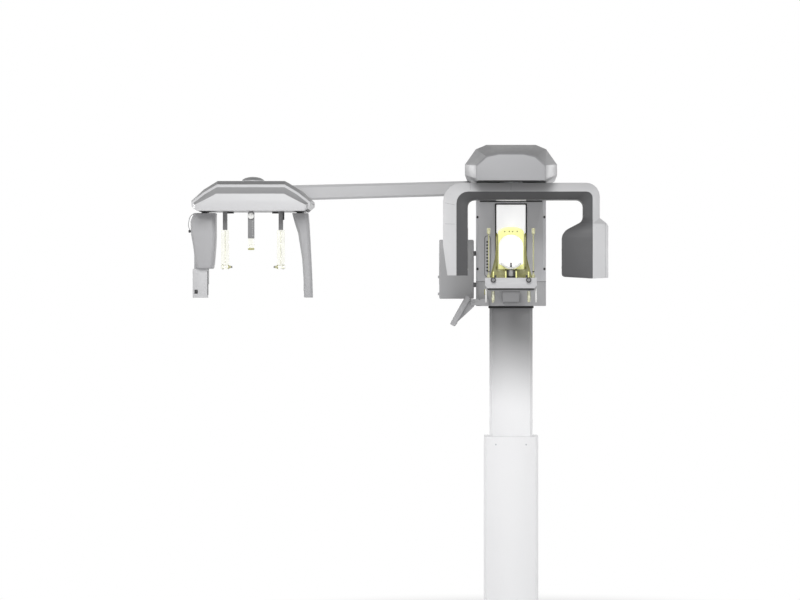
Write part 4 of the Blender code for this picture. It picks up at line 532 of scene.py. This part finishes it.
# A flat form: an outline across one axis, from low to high along it, with or without a hole.
def slab(shape, outline, axis, low, high, hole=None):
    def lift(a, b, at):
        return {"X": (at, a, b), "Y": (a, at, b), "Z": (a, b, at)}[axis]

    made = [[[shape.verts.new(lift(a, b, at)) for a, b in line] for at in (low, high)]
            for line in ([outline] if hole is None else [outline, hole])]
    if hole is None:
        closed(shape, made[0])
    else:
        for rings in (*made, *zip(*made)):
            walls(shape, rings)


def plates(name, finish, body, width, outlines, axis, low, high, hole=None):
    shape = bmesh.new()
    for outline in outlines:
        slab(shape, outline, axis, low, high, hole)
    return finishPiece(name, shape, finish, body, width)


def rounded(low, high, radius, steps=4):
    corners = [(high[0], high[1], 0), (low[0], high[1], 90), (low[0], low[1], 180), (high[0], low[1], 270)]
    line = []
    for x, y, start in corners:
        centreX = x - math.copysign(radius, x - (low[0] + high[0]) / 2)
        centreY = y - math.copysign(radius, y - (low[1] + high[1]) / 2)
        for step in range(steps + 1):
            angle = math.radians(start + 90 * step / steps)
            line.append((centreX + radius * math.cos(angle), centreY + radius * math.sin(angle)))
    return line


# A rounded frame: corners and corner radius outside, its place along the axis, rim and radius inside.
def bezel(shape, low, high, radius, axis, near, far, rim, innerRadius, steps=4):
    hole = rounded((low[0] + rim, low[1] + rim), (high[0] - rim, high[1] - rim), innerRadius, steps)
    slab(shape, rounded(low, high, radius, steps), axis, near, far, hole)


def circle(centre, radius, steps):
    angles = [2 * math.pi * step / steps for step in range(steps)]
    return [(centre[0] + radius * math.cos(angle), centre[1] + radius * math.sin(angle)) for angle in angles]


def mirrored(line):
    return [(-x, other) for x, other in reversed(line)]


# A raised band along a line of points: seams, bars, ribs and marks.
def strip(shape, points, width, height, up):
    up = Vector(up).normalized()
    points = [Vector(point) for point in points]
    section = ((-1.0, -0.0008), (-1.0, height * 0.6), (-0.6, height), (0.6, height), (1.0, height * 0.6),
               (1.0, -0.0008))
    rings = []
    for number, point in enumerate(points):
        before = points[max(number - 1, 0)]
        after = points[min(number + 1, len(points) - 1)]
        side = (after - before).cross(up).normalized() * (width / 2)
        rings.append([shape.verts.new(point + side * a + up * b) for a, b in section])
    closed(shape, rings)


def strips(name, finish, body, width, height, lines):
    shape = bmesh.new()
    for points, up in lines:
        strip(shape, points, width, height, up)
    return finishPiece(name, shape, finish, body)


def wire(name, points, radius, finish, body):
    line = bpy.data.curves.new(name, "CURVE")
    line.dimensions = "3D"
    line.bevel_depth = radius
    line.bevel_resolution = 3
    line.resolution_u = 4
    line.use_fill_caps = True
    spline = line.splines.new("BEZIER")
    spline.bezier_points.add(len(points) - 1)
    for knot, point in zip(spline.bezier_points, points):
        knot.co = point
        knot.handle_left_type = knot.handle_right_type = "AUTO"
    return joinPiece(name, line, finish, body)


# Carriage: screw caps on the cut corners, seam, a black grille in the groove that paints the shadow there, vents and
# screws behind.
carriageLook = {
    "capX": 0.1537, "capY": -0.1447, "capHeights": (1.941, 1.7025), "capRadius": 0.0062, "seam": 1.645,
    "grooveLow": 2.0102, "grooveHigh": 2.0172, "grooveHalf": 0.1435, "grooveBars": 34, "back": 0.118,
    "ventLow": 1.74, "ventBars": 13, "ventPitch": 0.012, "ventX": 0.088, "ventHalf": 0.04,
    "screwX": 0.14, "screwHeights": (1.56, 1.7, 1.93, 2.04)
}


def carriageDetails():
    (capX, capY, capHeights, cap, seam, grooveLow, grooveHigh, grooveHalf, grooveBars, back, ventLow, ventBars,
     ventPitch, ventX, ventHalf, screwX, screwHeights) = carriageLook.values()
    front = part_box("carriage_front_cover")[0][1]
    shape = bmesh.new()
    for side in (-1, 1):
        for z in capHeights:
            spin(shape, [(0.0056, -0.001), (cap, 0.0), (cap, 0.0012), (0.0048, 0.002), (0.002, 0.0018),
                         (0.0016, 0.0012)], (side * capX, capY, z), (side * 0.65, -0.76, 0.0), 24)
    finishPiece("carriage_screw_caps", shape, "trimBlack", "carriage")

    left = [(-0.1612, -0.12), (-0.1612, front + 0.0122), (-0.147, front - 0.0001)]
    strips("carriage_seam_gasket", "matRubber", "carriage", 0.0002, 0.0004,
           [([(x, y, seam) for x, y in left + mirrored(left)], toTop)])

    # The black grille in the groove is painted shadow.
    shape = bmesh.new()
    slab(shape, rounded((-grooveHalf, grooveLow + 0.0004), (grooveHalf, grooveHigh - 0.0004), 0.0024), "Y",
         front + 0.0014, front + 0.0023)
    for bar in range(grooveBars):
        x = -grooveHalf + 0.006 + bar * (2 * grooveHalf - 0.012) / (grooveBars - 1)
        strip(shape, [(x, front + 0.0013, grooveLow + 0.001), (x, front + 0.0013, grooveHigh - 0.001)],
              0.0022, 0.0008, toFront)
    finishPiece("carriage_groove_shadow_grille", shape, "trimBlack", "carriage")

    shape = bmesh.new()
    for side in (-1, 1):
        left, right = side * ventX - ventHalf, side * ventX + ventHalf
        bezel(shape, (left, ventLow - 0.012), (right, ventLow + ventBars * ventPitch), 0.008, "Y",
              back - 0.001, back + 0.0022, 0.005, 0.004)
        for bar in range(ventBars):
            z = ventLow + bar * ventPitch - 0.002
            strip(shape, [(left + 0.004, back + 0.0002, z), (right - 0.004, back + 0.0002, z)],
                  0.006, 0.0022, (0.0, 1.0, 0.35))
    finishPiece("carriage_rear_vents", shape, "shellDark", "carriage")
    screws("carriage_back_screws", "carriage", [(x, back, z) for x in (-screwX, screwX) for z in screwHeights],
           toBack, 0.004, 0.0016)


carriageDetails()

# Sliding column, and the felt wiper where it leaves the carriage, made tall and black as painted shadow under the
# carriage.
columnLook = {"half": 0.0997, "depth": 0.094, "cut": 0.013, "shadowWiperLow": 1.5222, "shadowWiperHigh": 1.5328}


def columnOutline(grow):
    half, depth, cut = columnLook["half"] + grow, columnLook["depth"] + grow, columnLook["cut"] + grow * 0.4
    right = [(half - cut, -depth), (half, -depth + cut), (half, depth - cut), (half - cut, depth)]
    return right + mirrored(right)


# The wiper's black band is partly painted shadow under the carriage.
plates("carriage_column_wiper_shadow", "matRubber", "carriage", 0.0006, [columnOutline(0.0048)], "Z",
       columnLook["shadowWiperLow"], columnLook["shadowWiperHigh"], columnOutline(0.0008))

# Loudspeaker panel: black gauze behind its ten holes, a dark rim, and its two end screws.
speakerLook = {"x": -0.1076, "gauzeX": -0.1092, "half": 0.0152, "low": 1.665, "high": 1.857, "holes": 10,
               "pitch": 0.0147, "radius": 0.0034}


def speakerDetails():
    x, gauzeX, half, low, high, holes, pitch, radius = speakerLook.values()
    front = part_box("speaker_panel")[0][1]
    heights = [(low + high) / 2 + (hole - (holes - 1) / 2) * pitch for hole in range(holes)]
    turned("speaker_hole_liners", "trimBlack", "carriage",
           [(radius + 0.0012, 0.0), (radius + 0.001, 0.0006), (radius, 0.0006), (radius - 0.0006, 0.0003)],
           [(gauzeX, front, z) for z in heights], toFront, 20)
    shape = bmesh.new()
    bezel(shape, (x - half, low + 0.0005), (x + half, high - 0.0005), half - 0.0002, "Y",
          front - 0.0008, front + 0.0006, 0.0034, half - 0.0036, 8)
    finishPiece("speaker_rim", shape, "panelGrey", "carriage")
    screws("speaker_panel_screws", "carriage", [(x, front, z) for z in (low + 0.01, high - 0.01)],
           toFront, 0.0026, 0.0008)


speakerDetails()

# Side box: lid seam, screws and an inspection plate on its outer side.
sideBoxLook = {"left": -0.33, "right": -0.1725, "low": 1.566, "high": 1.837, "front": -0.145, "back": -0.01,
               "inset": 0.012, "plate": ((-0.118, 1.63), (-0.036, 1.775))}


def sideBoxDetails():
    left, right, low, high, front, back, inset, corners = sideBoxLook.values()
    edges = (((left + 0.004, high), (right - 0.004, high), toTop),
             ((left + 0.004, low), (right - 0.004, low), toFloor),
             ((left, low + 0.004), (left, high - 0.004), toLeft))
    strips("side_box_lid_seam", "matRubber", "carriage", 0.001, 0.0003,
           [([(x, front + inset, z) for x, z in ends], up) for *ends, up in edges])
    screws("side_box_screws", "carriage",
           [(x, back, z) for x in (left + inset, right - inset) for z in (low + inset, high - inset)],
           toBack, 0.0034, 0.0014)
    plates("side_box_service_plate", "shellDark", "carriage", 0.0004, [rounded(*corners, 0.007)], "X",
           left - 0.0012, left + 0.0006)


sideBoxDetails()

# Head cover: rear vent, fixing screws on its underside plate.
headLook = {"under": 2.084, "half": 0.07, "low": 2.12, "bars": 7, "pitch": 0.011,
            "screwX": (-0.125, 0.125), "screwY": (-0.79, -0.52, -0.25)}


def headDetails():
    under, half, low, bars, pitch, screwX, screwY = headLook.values()
    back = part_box("head_cover")[1][1]
    strips("head_rear_vent", "trimBlack", "carriage", 0.0055, 0.0016,
           [([(x, back, low + bar * pitch) for x in (-half, half)], (0.0, 1.0, 0.3)) for bar in range(bars)])
    screws("head_under_screws", "carriage", [(x, y, under) for x in screwX for y in screwY],
           toFloor, 0.0034, 0.0012)


headDetails()

# Gantry: hub cap, windows in both arms, seams and joints of the light band, screws under the beam.
gantryLook = {
    "axisY": -0.61, "beamLow": 2.005, "capHalf": 0.067, "capDepth": 0.046, "leftInner": -0.193,
    "rightInner": 0.227, "ridge": 0.3606, "seamX": 0.417, "outerX": 0.43,
    "joints": (((-0.18, 2.072), (-0.18, 2.046)), ((0.0, 2.072), (0.0, 2.046)),
               ((-0.292, 1.99), (-0.248, 1.98)), ((-0.292, 1.897), (-0.248, 1.895)),
               ((0.3, 1.926), (0.352, 1.918)))
}


def gantryDetails():
    y, beamLow, capHalf, capDepth, left, right, ridge, seamX, outerX, joints = gantryLook.values()
    plates("gantry_hub_cap", "softWhite", "gantry", 0.0006,
           [rounded((-capHalf, y - capDepth), (capHalf, y + capDepth), 0.012)], "Z",
           beamLow - 0.0028, beamLow + 0.0004)
    plates("detector_window", "trimBlack", "gantry", 0.0004, [rounded((y - 0.064, 1.7), (y + 0.064, 1.88), 0.008)],
           "X", left - 0.0004, left + 0.0012)
    shape = bmesh.new()
    bezel(shape, (y - 0.071, 1.693), (y + 0.071, 1.887), 0.012, "X", left - 0.0004, left + 0.0008, 0.0064, 0.008)
    finishPiece("detector_window_bezel", shape, "shellGrey", "gantry")
    plates("beam_window", "trimBlack", "gantry", 0.0003, [rounded((y - 0.03, 1.735), (y + 0.03, 1.835), 0.006)],
           "X", right - 0.001, right + 0.0004)
    turned("laser_ports", "screenGlass", "gantry",
           [(0.0052, -0.0008), (0.0052, 0.0008), (0.004, 0.0014), (0.003, 0.0014), (0.0022, 0.0004), (0.001, 0.0008)],
           [(right, y + 0.05, z) for z in (1.705, 1.785)], toLeft, 20)

    lines = []
    for face in (-1, 1):
        near, far = y + face * 0.1287, y + face * 0.0966
        at = near + (far - near) * (seamX - ridge) / (outerX - ridge)
        lines.append(([(seamX, at, 1.662), (seamX, at, 1.905)], (0.42, face * 0.91, 0.0)))
    strips("gantry_housing_seams", "shellGrey", "gantry", 0.0011, 0.0004, lines)

    lines = []
    cover = nodes["gantry_outer_cover"].data
    skin = BVHTree.FromPolygons([tuple(vertex.co) for vertex in cover.vertices],
                                [tuple(face.vertices) for face in cover.polygons])
    for face in (-1, 1):
        for start, end in joints:
            line = []
            for step in range(9):
                x, z = (first + (last - first) * step / 8 for first, last in zip(start, end))
                hit = skin.ray_cast(Vector((x, y + face * 0.5, z)), Vector((0.0, -face, 0.0)), 0.6)[0]
                if hit is not None:
                    line.append(hit)
            if len(line) > 2:
                lines.append((line, (0.0, face, 0.0)))
    strips("gantry_cover_joints", "panelGrey", "gantry", 0.001, 0.0003, lines)
    screws("gantry_beam_screws", "gantry", [(x, y + side * 0.05, beamLow) for x in (-0.15, 0.25) for side in (-1, 1)],
           toFloor, 0.0034, 0.001)


gantryDetails()

# Patient support: knob rings, pads and collars of the temple rods, pins and plates of the table, and
# the chin post's clamp, its outline measured from the post's middle and the table's top.
supportLook = {
    "top": 1.6588, "knobX": 0.0785, "knobZ": 1.6488, "rodY": -0.608, "pinY": -0.622, "rimZ": 1.6105,
    "postY": -0.555, "plateX": 0.1085,
    "plate": ((-0.615, 1.6112), (-0.615, 1.56), (-0.608, 1.549), (-0.57, 1.549), (-0.39, 1.596),
              (-0.38, 1.6112)),
    # The clamp's top flares into black wings, painted shadow under the ends of the chin trough.
    "clamp": ((0.012, 0.0004), (0.0225, 0.0004), (0.0205, 0.005), (0.0188, 0.0085), (0.0188, 0.0325),
              (0.0272, 0.0382), (0.0262, 0.04), (0.015, 0.0375), (0.012, 0.035))
}


def supportDetails():
    top, knobX, knobZ, rodY, pinY, rimZ, postY, plateX, plate, clamp = supportLook.values()
    for side, name in bothSides:
        knob = (side * knobX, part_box(f"temple_knob_{name}")[0][1], knobZ)
        turned(f"temple_knob_ring_{name}", "trimBlack", f"knob_{name}",
               [(0.0118, 0.0), (0.0118, 0.0012), (0.0108, 0.002), (0.0088, 0.002), (0.0084, 0.0008)],
               [knob], toFront, 28)
        turned(f"temple_knob_centre_{name}", "panelGrey", f"knob_{name}",
               [(0.0078, 0.0), (0.0078, 0.0018), (0.0066, 0.003), (0.0022, 0.0034), (0.0018, 0.0026)],
               [knob], toFront, 24)
        low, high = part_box(f"temple_rod_{name}")
        middle = (low[0] + high[0]) / 2
        pad = rounded((middle - 0.008, high[2] - 0.0225), (middle + 0.008, high[2] - 0.001), 0.003)
        shape = bmesh.new()
        slab(shape, pad, "Y", rodY - 0.0045, rodY - 0.003)
        slab(shape, pad, "Y", rodY + 0.003, rodY + 0.0045)
        finishPiece(f"temple_pad_{name}", shape, "softWhite", f"temple_{name}", 0.0005)
        turned(f"temple_collars_{name}", "trimBlack", f"temple_{name}",
               [(0.0036, 0.0), (0.0056, 0.0008), (0.0056, 0.0038), (0.0036, 0.0046)],
               [(middle, rodY, z) for z in (high[2] - 0.0262, low[2] + 0.025)], toTop, 18)
    turned("table_guide_pins", "amberClear", "carriage",
           [(0.0044, -0.0004), (0.0044, 0.002), (0.0028, 0.003), (0.0026, 0.02), (0.0034, 0.0215), (0.0034, 0.026),
            (0.0022, 0.0276)], [(x, pinY, top) for x in (-knobX, knobX)], toTop, 20)
    stops = [side * (knobX - 0.0095) for side in (-1, 1)]
    plates("table_pin_stops", "trimBlack", "carriage", 0.0004,
           [rounded((x - 0.0042, top - 0.0004), (x + 0.0042, top + 0.0125), 0.0015) for x in stops], "Y",
           -0.6372, -0.629)
    shape = bmesh.new()
    for side in (-1, 1):
        slab(shape, plate, "X", side * plateX, side * (plateX + 0.0055))
    finishPiece("table_side_plates", shape, "softWhite", "carriage", 0.001)
    plates("bite_block_holder", "amberDeep", "carriage", 0.0006, [rounded((-0.604, 1.583), (-0.586, 1.608), 0.005)],
           "X", -plateX - 0.01, -plateX - 0.0057)
    # The black rubber rim under the table's edge is painted shadow, a dark band where the underside lies in shade.
    plates("table_rubber_rim_shadow", "matRubber", "carriage", 0.0008,
           [rounded((-0.1045, -0.637), (0.1045, -0.498), 0.01)], "Z", rimZ - 0.005, rimZ + 0.0012)

    # Post clamp; its flared black top is painted shadow under the chin trough.
    shape = bmesh.new()
    spin(shape, [(0.015, 0.0), (0.0225, 0.0), (0.0232, 0.001), (0.0232, 0.005), (0.0205, 0.0075), (0.015, 0.008)],
         (0.0, postY, top + 0.0004), toTop, 28)
    for side in (-1, 1):
        slab(shape, [(side * x, top + z) for x, z in clamp], "Y", postY - 0.0075, postY + 0.0075)
    finishPiece("chin_post_clamp_and_shadow", shape, "trimBlack", "carriage", 0.0006)
    screws("chin_clamp_screws", "carriage", [(x, postY - 0.0075, top + 0.02) for x in (-0.0153, 0.0153)],
           toFront, 0.0026, 0.0014, "trimBlack")
    plates("chin_clamp_cheeks", "amberClear", "carriage", 0.0006,
           [rounded((x - 0.003, top + 0.0004), (x + 0.003, top + 0.03), 0.0015) for x in (-0.0236, 0.0236)],
           "Y", postY - 0.031, postY - 0.0246)


supportDetails()

# Yellow head frame and white chin rest: the arched plate with its flanges and foot, and the shallow V
# that holds the chin, given as its right half and as places, widths and rises from front to back.
bandLook = {
    "half": 0.0585, "crownLow": 1.862, "top": 1.889, "openHalf": 0.0545, "openLow": 1.702,
    "archLow": 1.8, "archTop": 1.8525, "front": -0.512, "back": -0.508, "foot": 1.6591, "knee": 1.7478,
    "flare": 0.094, "flangeIn": 0.0615, "flangeOut": 0.068, "flangeFront": -0.5565,
    "rivetHeight": 1.8668, "rivets": (-0.028, -0.0075, 0.0075, 0.028)
}
chinLook = {
    "y": -0.555, "depth": 0.026, "low": 1.7, "pegHeight": 1.7234,
    "right": [(0.016, 0.0), (0.03, 0.0065), (0.043, 0.016), (0.0462, 0.0225), (0.045, 0.024),
              (0.0395, 0.0215), (0.027, 0.012), (0.013, 0.006)],
    "sections": ((-1.0, 0.9, -0.001), (-0.85, 0.98, 0.0), (0.0, 1.0, 0.0), (0.85, 0.98, 0.001),
                 (1.0, 0.9, 0.002))
}


def arch(half, low, springing, top, steps=12):
    path = [(half, low + (springing - low) * step / 4) for step in range(5)]
    for step in range(1, steps):
        angle = math.radians(90 * step / steps)
        path.append((half * math.cos(angle), springing + (top - springing) * math.sin(angle)))
    return path + [(0.0, top)] + mirrored(path)


def headFrame():
    (half, crownLow, top, openHalf, openLow, archLow, archTop, front, back, foot, knee, flare, flangeIn, flangeOut,
     flangeFront, rivetHeight, rivets) = bandLook.values()
    outer = arch(half, openLow - 0.005, crownLow, top) + [(x, openLow - 0.005) for x in (-0.02, 0.02)]
    inner = arch(openHalf, openLow + 0.0205, archLow, archTop) + [(x, openLow) for x in (-0.02, 0.02)]
    plate = plates("head_frame", "amberClear", "carriage", 0.0006, [outer], "Y", front, back, inner)
    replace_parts(plate, "head_band")

    shape = bmesh.new()
    for side in (-1, 1):
        slab(shape, [(front, 1.7), (flangeFront + 0.008, 1.7), (flangeFront, 1.709), (flangeFront, 1.83),
                     (flangeFront + 0.006, 1.846), (flangeFront + 0.02, 1.8585), (front, 1.862)],
             "X", *sorted((side * flangeIn, side * flangeOut)))
    slab(shape, rounded((-0.088, -0.53), (0.088, -0.508), 0.004), "Z", foot, foot + 0.005)
    finishPiece("head_frame_flanges", shape, "amberDeep", "carriage", 0.0006)

    # The foot behind the plate is in the olive yellow, which is painted shade.
    shape = bmesh.new()
    right = [(flare, foot), (0.08, 1.712), (half + 0.013, knee), (0.066, 1.795), (0.0615, 1.856),
             (half - 0.003, 1.856), (half - 0.003, openLow - 0.002)]
    slab(shape, right + mirrored(right), "Y", back, back + 0.003)
    for side in (-1, 1):
        strip(shape, [(side * x, back - 0.001, z) for x, z in right[:4]], 0.003, 0.008, toFront)
    finishPiece("head_frame_foot", shape, "amberShade", "carriage", 0.0004)
    turned("head_frame_rivets", "amberDeep", "carriage",
           [(0.003, -0.0002), (0.003, 0.0008), (0.002, 0.0014), (0.0006, 0.0015)],
           [(x, front, rivetHeight) for x in rivets], toFront, 14)


def chinRest():
    y, depth, low, pegHeight, right, sections = chinLook.values()
    shape = bmesh.new()
    line = right + mirrored(right)
    closed(shape, [[shape.verts.new((x * wide, y + place * depth, low + z + rise)) for x, z in line]
                   for place, wide, rise in sections])
    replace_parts(finishPiece("chin_rest_trough", shape, "softWhite", "chin_rest", 0.0008), "chin_cup")
    shape = bmesh.new()
    spin(shape, [(0.0036, -0.003), (0.0036, 0.0016), (0.0026, 0.0024), (0.001, 0.0026)],
         (0.0, y - 0.01, pegHeight), toFront, 18)
    spin(shape, [(0.004, 0.0), (0.0044, 0.001), (0.003, 0.016), (0.0034, 0.02)], (0.0, y - 0.009, low + 0.005),
         toTop, 16)
    finishPiece("bite_peg", shape, "trimBlack", "chin_rest")


headFrame()
chinRest()

# Touch panel: a thin bezel round the glass and four screws behind, in the panel's own tilted frame.
panelLook = {"pivot": (-0.17, -0.27, 1.552), "tilt": 29.4, "front": -0.0434, "back": -0.0194, "top": 0.01,
             "bottom": -0.14, "half": 0.11, "border": 0.009, "screwIn": 0.014}


def panelDetails():
    pivot, tilt, front, back, top, bottom, half, border, screwIn = panelLook.values()
    turn = Matrix.Translation(pivot) @ Matrix.Rotation(math.radians(tilt), 4, "Y")
    rim, heads = bmesh.new(), bmesh.new()
    bezel(rim, (-half + border, bottom + border), (half - border, top - border), 0.0035, "X",
          front - 0.0008, front + 0.0004, 0.0028, 0.0012)
    for y in (-half + screwIn, half - screwIn):
        for z in (top - screwIn, bottom + screwIn):
            screw(heads, (back, y, z), toRight, 0.003, 0.0012)
    for name, shape, finishName in (("bezel", rim, "trimBlack"), ("screws", heads, "plainSteel")):
        bmesh.ops.transform(shape, matrix=turn, verts=shape.verts)
        finishPiece(f"touch_panel_{name}", shape, finishName, "touch_panel")


panelDetails()

# Cephalometric head: dome ring, slot brushes, screws; clamps, ribs and plugs of the ear rods; scale
# and shoe of the nasion bar; details of both legs.
cephLook = {
    "x": -1.148, "y": -0.61, "top": 2.086, "low": 1.953, "domeRadius": 0.052, "sensorX": -1.36,
    "collimatorX": -0.937, "travel": 0.085, "neck": 0.016, "tufts": 24, "endX": 0.2662, "endZ": 1.986,
    "earX": 0.124, "earAxis": 1.707, "hangerLow": 1.8715, "legTop": 1.946, "knob": (-1.424, 1.8655),
    "lever": ((-1.41, 1.944), (-1.4245, 1.933), (-1.4325, 1.91), (-1.4335, 1.885), (-1.4265, 1.87))
}


def earPieces(side, name):
    look = cephLook
    x, y, axis, low, body = look["x"] + side * look["earX"], look["y"], look["earAxis"], look["low"], f"ear_{name}"
    shape = bmesh.new()
    inside = sorted((x - side * 0.01, x - side * 0.0385))
    slab(shape, rounded((inside[0], y - 0.0135), (inside[1], y + 0.0135), 0.004), "Z", low - 0.0082, low - 0.001)
    if side > 0:      # the latch is on this side only
        slab(shape, rounded((x + 0.01, low - 0.037), (x + 0.0152, low - 0.001), 0.002), "Y", y - 0.006, y + 0.006)
    finishPiece(f"ear_clamp_{name}", shape, "trimBlack", body, 0.0006)
    shape = bmesh.new()
    for face in (-1, 1):
        strip(shape, [(x, y + face * 0.003, z) for z in (axis + 0.012, look["hangerLow"] - 0.004)],
              0.003, 0.0014, (0.0, face, 0.0))
    spin(shape, [(0.0102, -0.0035), (0.0108, -0.002), (0.0108, 0.002), (0.0102, 0.0035)],
         (x + side * 0.01, y, axis), toRight, 24)
    finishPiece(f"ear_rod_ribs_{name}", shape, "amberMist", body)
    turned(f"ear_plug_tip_{name}", "panelGrey", body,
           [(0.0044, -0.003), (0.0048, -0.0012), (0.0048, 0.0012), (0.0038, 0.0034), (0.0018, 0.004)],
           [(x - side * 0.0285, y, axis)], (-side, 0.0, 0.0), 20)
    turned(f"ear_plug_{name}", "amberRod", body, [(0.0098, 0.0), (0.0098, 0.0016), (0.006, 0.007), (0.0044, 0.015)],
           [(x - side * 0.0125, y, axis)], (-side, 0.0, 0.0), 20)


def cephDetails():
    (x0, y0, top, low, dome, sensorX, collimatorX, travel, neck, tufts, endX, endZ, _, _, _, legTop, knob,
     lever) = cephLook.values()
    plates("ceph_dome_ring", "shellDark", "carriage", 0.0003, [circle((x0, y0), dome + 0.002, 36)], "Z",
           top - 0.0005, top + 0.0012, circle((x0, y0), dome - 0.001, 36))
    strips("ceph_slot_brushes", "matRubber", "carriage", 0.0056, 0.0012,
           [([(x + side * (neck + reach), y0 - travel + tuft * 2 * travel / (tufts - 1), low - 0.0004)
              for reach in (0.0035, 0.0008)], toFloor)
            for x in (sensorX, collimatorX) for side in (-1, 1) for tuft in range(tufts)])
    screws("ceph_under_screws", "carriage",
           [(x, y, low) for x in (x0 - 0.16, x0 + 0.16) for y in (y0 - 0.13, y0 + 0.13)], toFloor, 0.0032, 0.0012)
    strips("ceph_end_seams", "matRubber", "carriage", 0.0012, 0.0003,
           [([(x0 + side * endX, y, endZ) for y in (-0.47, -0.7)], (side, 0.0, 0.0)) for side in (-1, 1)])

    for side, name in bothSides:
        earPieces(side, name)

    tipLow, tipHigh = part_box("nasion_tip")
    plates("nasion_tip_shoe", "amberShade", "nasion", 0.0006,
           [rounded((x0 - 0.0142, tipLow[2] - 0.0012), (x0 + 0.0142, tipLow[2] + 0.008), 0.004)], "Y",
           tipLow[1] - 0.0006, tipHigh[1] - 0.019)
    lines = []
    _, barFront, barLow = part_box("nasion_bar")[0]
    for mark in range(9):
        z = barLow + 0.012 + mark * 0.008
        end = 0.0105 if mark % 4 == 0 else 0.008
        lines.append(([(x0 + 0.004, barFront, z), (x0 + end, barFront, z)], toFront))
    strips("nasion_scale_marks", "softWhite", "nasion", 0.0009, 0.0003, lines)

    for x, name in ((sensorX, "sensor"), (collimatorX, "collimator")):
        turned(f"{name}_leg_bumper", "matRubber", f"{name}_carrier",
               [(0.0095, 0.0), (0.0105, 0.001), (0.0105, 0.004), (0.008, 0.0058), (0.003, 0.0062)],
               [(x - 0.002, y0 - 0.026, legTop - 0.0004)], toTop, 24)
    turned("sensor_release_knob", "trimBlack", "sensor_carrier",
           [(0.003, -0.01), (0.003, 0.0), (0.0058, 0.001), (0.0064, 0.003), (0.0064, 0.0075), (0.005, 0.0098),
            (0.002, 0.0102)], [(knob[0], y0 - 0.01, knob[1])], toLeft, 24)
    wire("sensor_release_lever", [(x, y0 - 0.01, z) for x, z in lever], 0.0014, "panelGrey", "sensor_carrier")
    (_, cassetteFront, _), (cassetteRight, _, _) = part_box("sensor_cassette")
    plates("sensor_cassette_eye", "trimBlack", "sensor_carrier", 0.0003,
           [rounded((-1.4065, 1.5878), (-1.3915, 1.6058), 0.0016)], "Y",
           cassetteFront - 0.001, cassetteFront + 0.0006)
    plates("sensor_window", "trimBlack", "sensor_carrier", 0.0003, [rounded((-0.628, 1.582), (-0.592, 1.69), 0.006)],
           "X", cassetteRight - 0.0004, cassetteRight + 0.001)
    plates("collimator_slit_window", "trimBlack", "collimator_carrier", 0.0003,
           [rounded((y0 - 0.012, 1.6), (y0 + 0.012, 1.74), 0.005)], "X", -0.9222, -0.9195)


cephDetails()

# Columns and base: flange bolts with washers, collar screws, a wiper lip, inlet pins and switch marks.
baseLook = {"flangeTop": 0.0273, "boltPlace": 0.146, "collarTop": 0.914, "depth": 0.12, "screwHeight": 0.894,
            "pins": ((-0.037, 0.125), (-0.017, 0.125), (-0.027, 0.1185)), "dash": (0.129, 0.134), "ring": 0.118}


def baseDetails():
    flangeTop, bolt, collarTop, depth, screwHeight, pins, dash, ring = baseLook.values()
    shape = bmesh.new()
    for x in (-bolt, bolt):
        for y in (-bolt, bolt):
            spin(shape, [(0.013, -0.0005), (0.013, 0.0014), (0.0118, 0.002), (0.0088, 0.002)], (x, y, flangeTop),
                 toTop, 28)
            spin(shape, [(0.0094, 0.0016), (0.0094, 0.009), (0.008, 0.01), (0.0052, 0.01), (0.0048, 0.009),
                         (0.0048, 0.004)], (x, y, flangeTop), toTop, 24, socket=4)
    finishPiece("flange_bolts", shape, "plainSteel", "base")

    shape = bmesh.new()
    for side in (-1, 1):
        for x in (-0.07, 0.07):
            screw(shape, (x, side * depth, screwHeight), (0.0, side, 0.0), 0.0038, 0.0014)
    finishPiece("collar_screws", shape, "plainSteel", "base")
    plates("column_wiper_lip", "matRubber", "base", 0.001, [columnOutline(0.007)], "Z", collarTop + 0.0004,
           collarTop + 0.005, columnOutline(0.0009))
    plates("inlet_pins", "contactBrass", "base", 0.0,
           [rounded((x - 0.0011, z - 0.003), (x + 0.0011, z + 0.003), 0.0007) for x, z in pins], "Y", 0.115, 0.1205)

    (left, _, _), (right, face, _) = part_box("mains_switch")
    middle = (left + right) / 2
    shape = bmesh.new()
    strip(shape, [(middle, face - 0.0016, dash[0]), (middle, face - 0.0013, dash[1])], 0.0012, 0.0004, toBack)
    slab(shape, circle((middle, ring), 0.0024, 18), "Y", face - 0.0016, face + 0.0001,
         circle((middle, ring), 0.0015, 18))
    finishPiece("switch_marks", shape, "softWhite", "power_switch")


baseDetails()
print("pieces made")
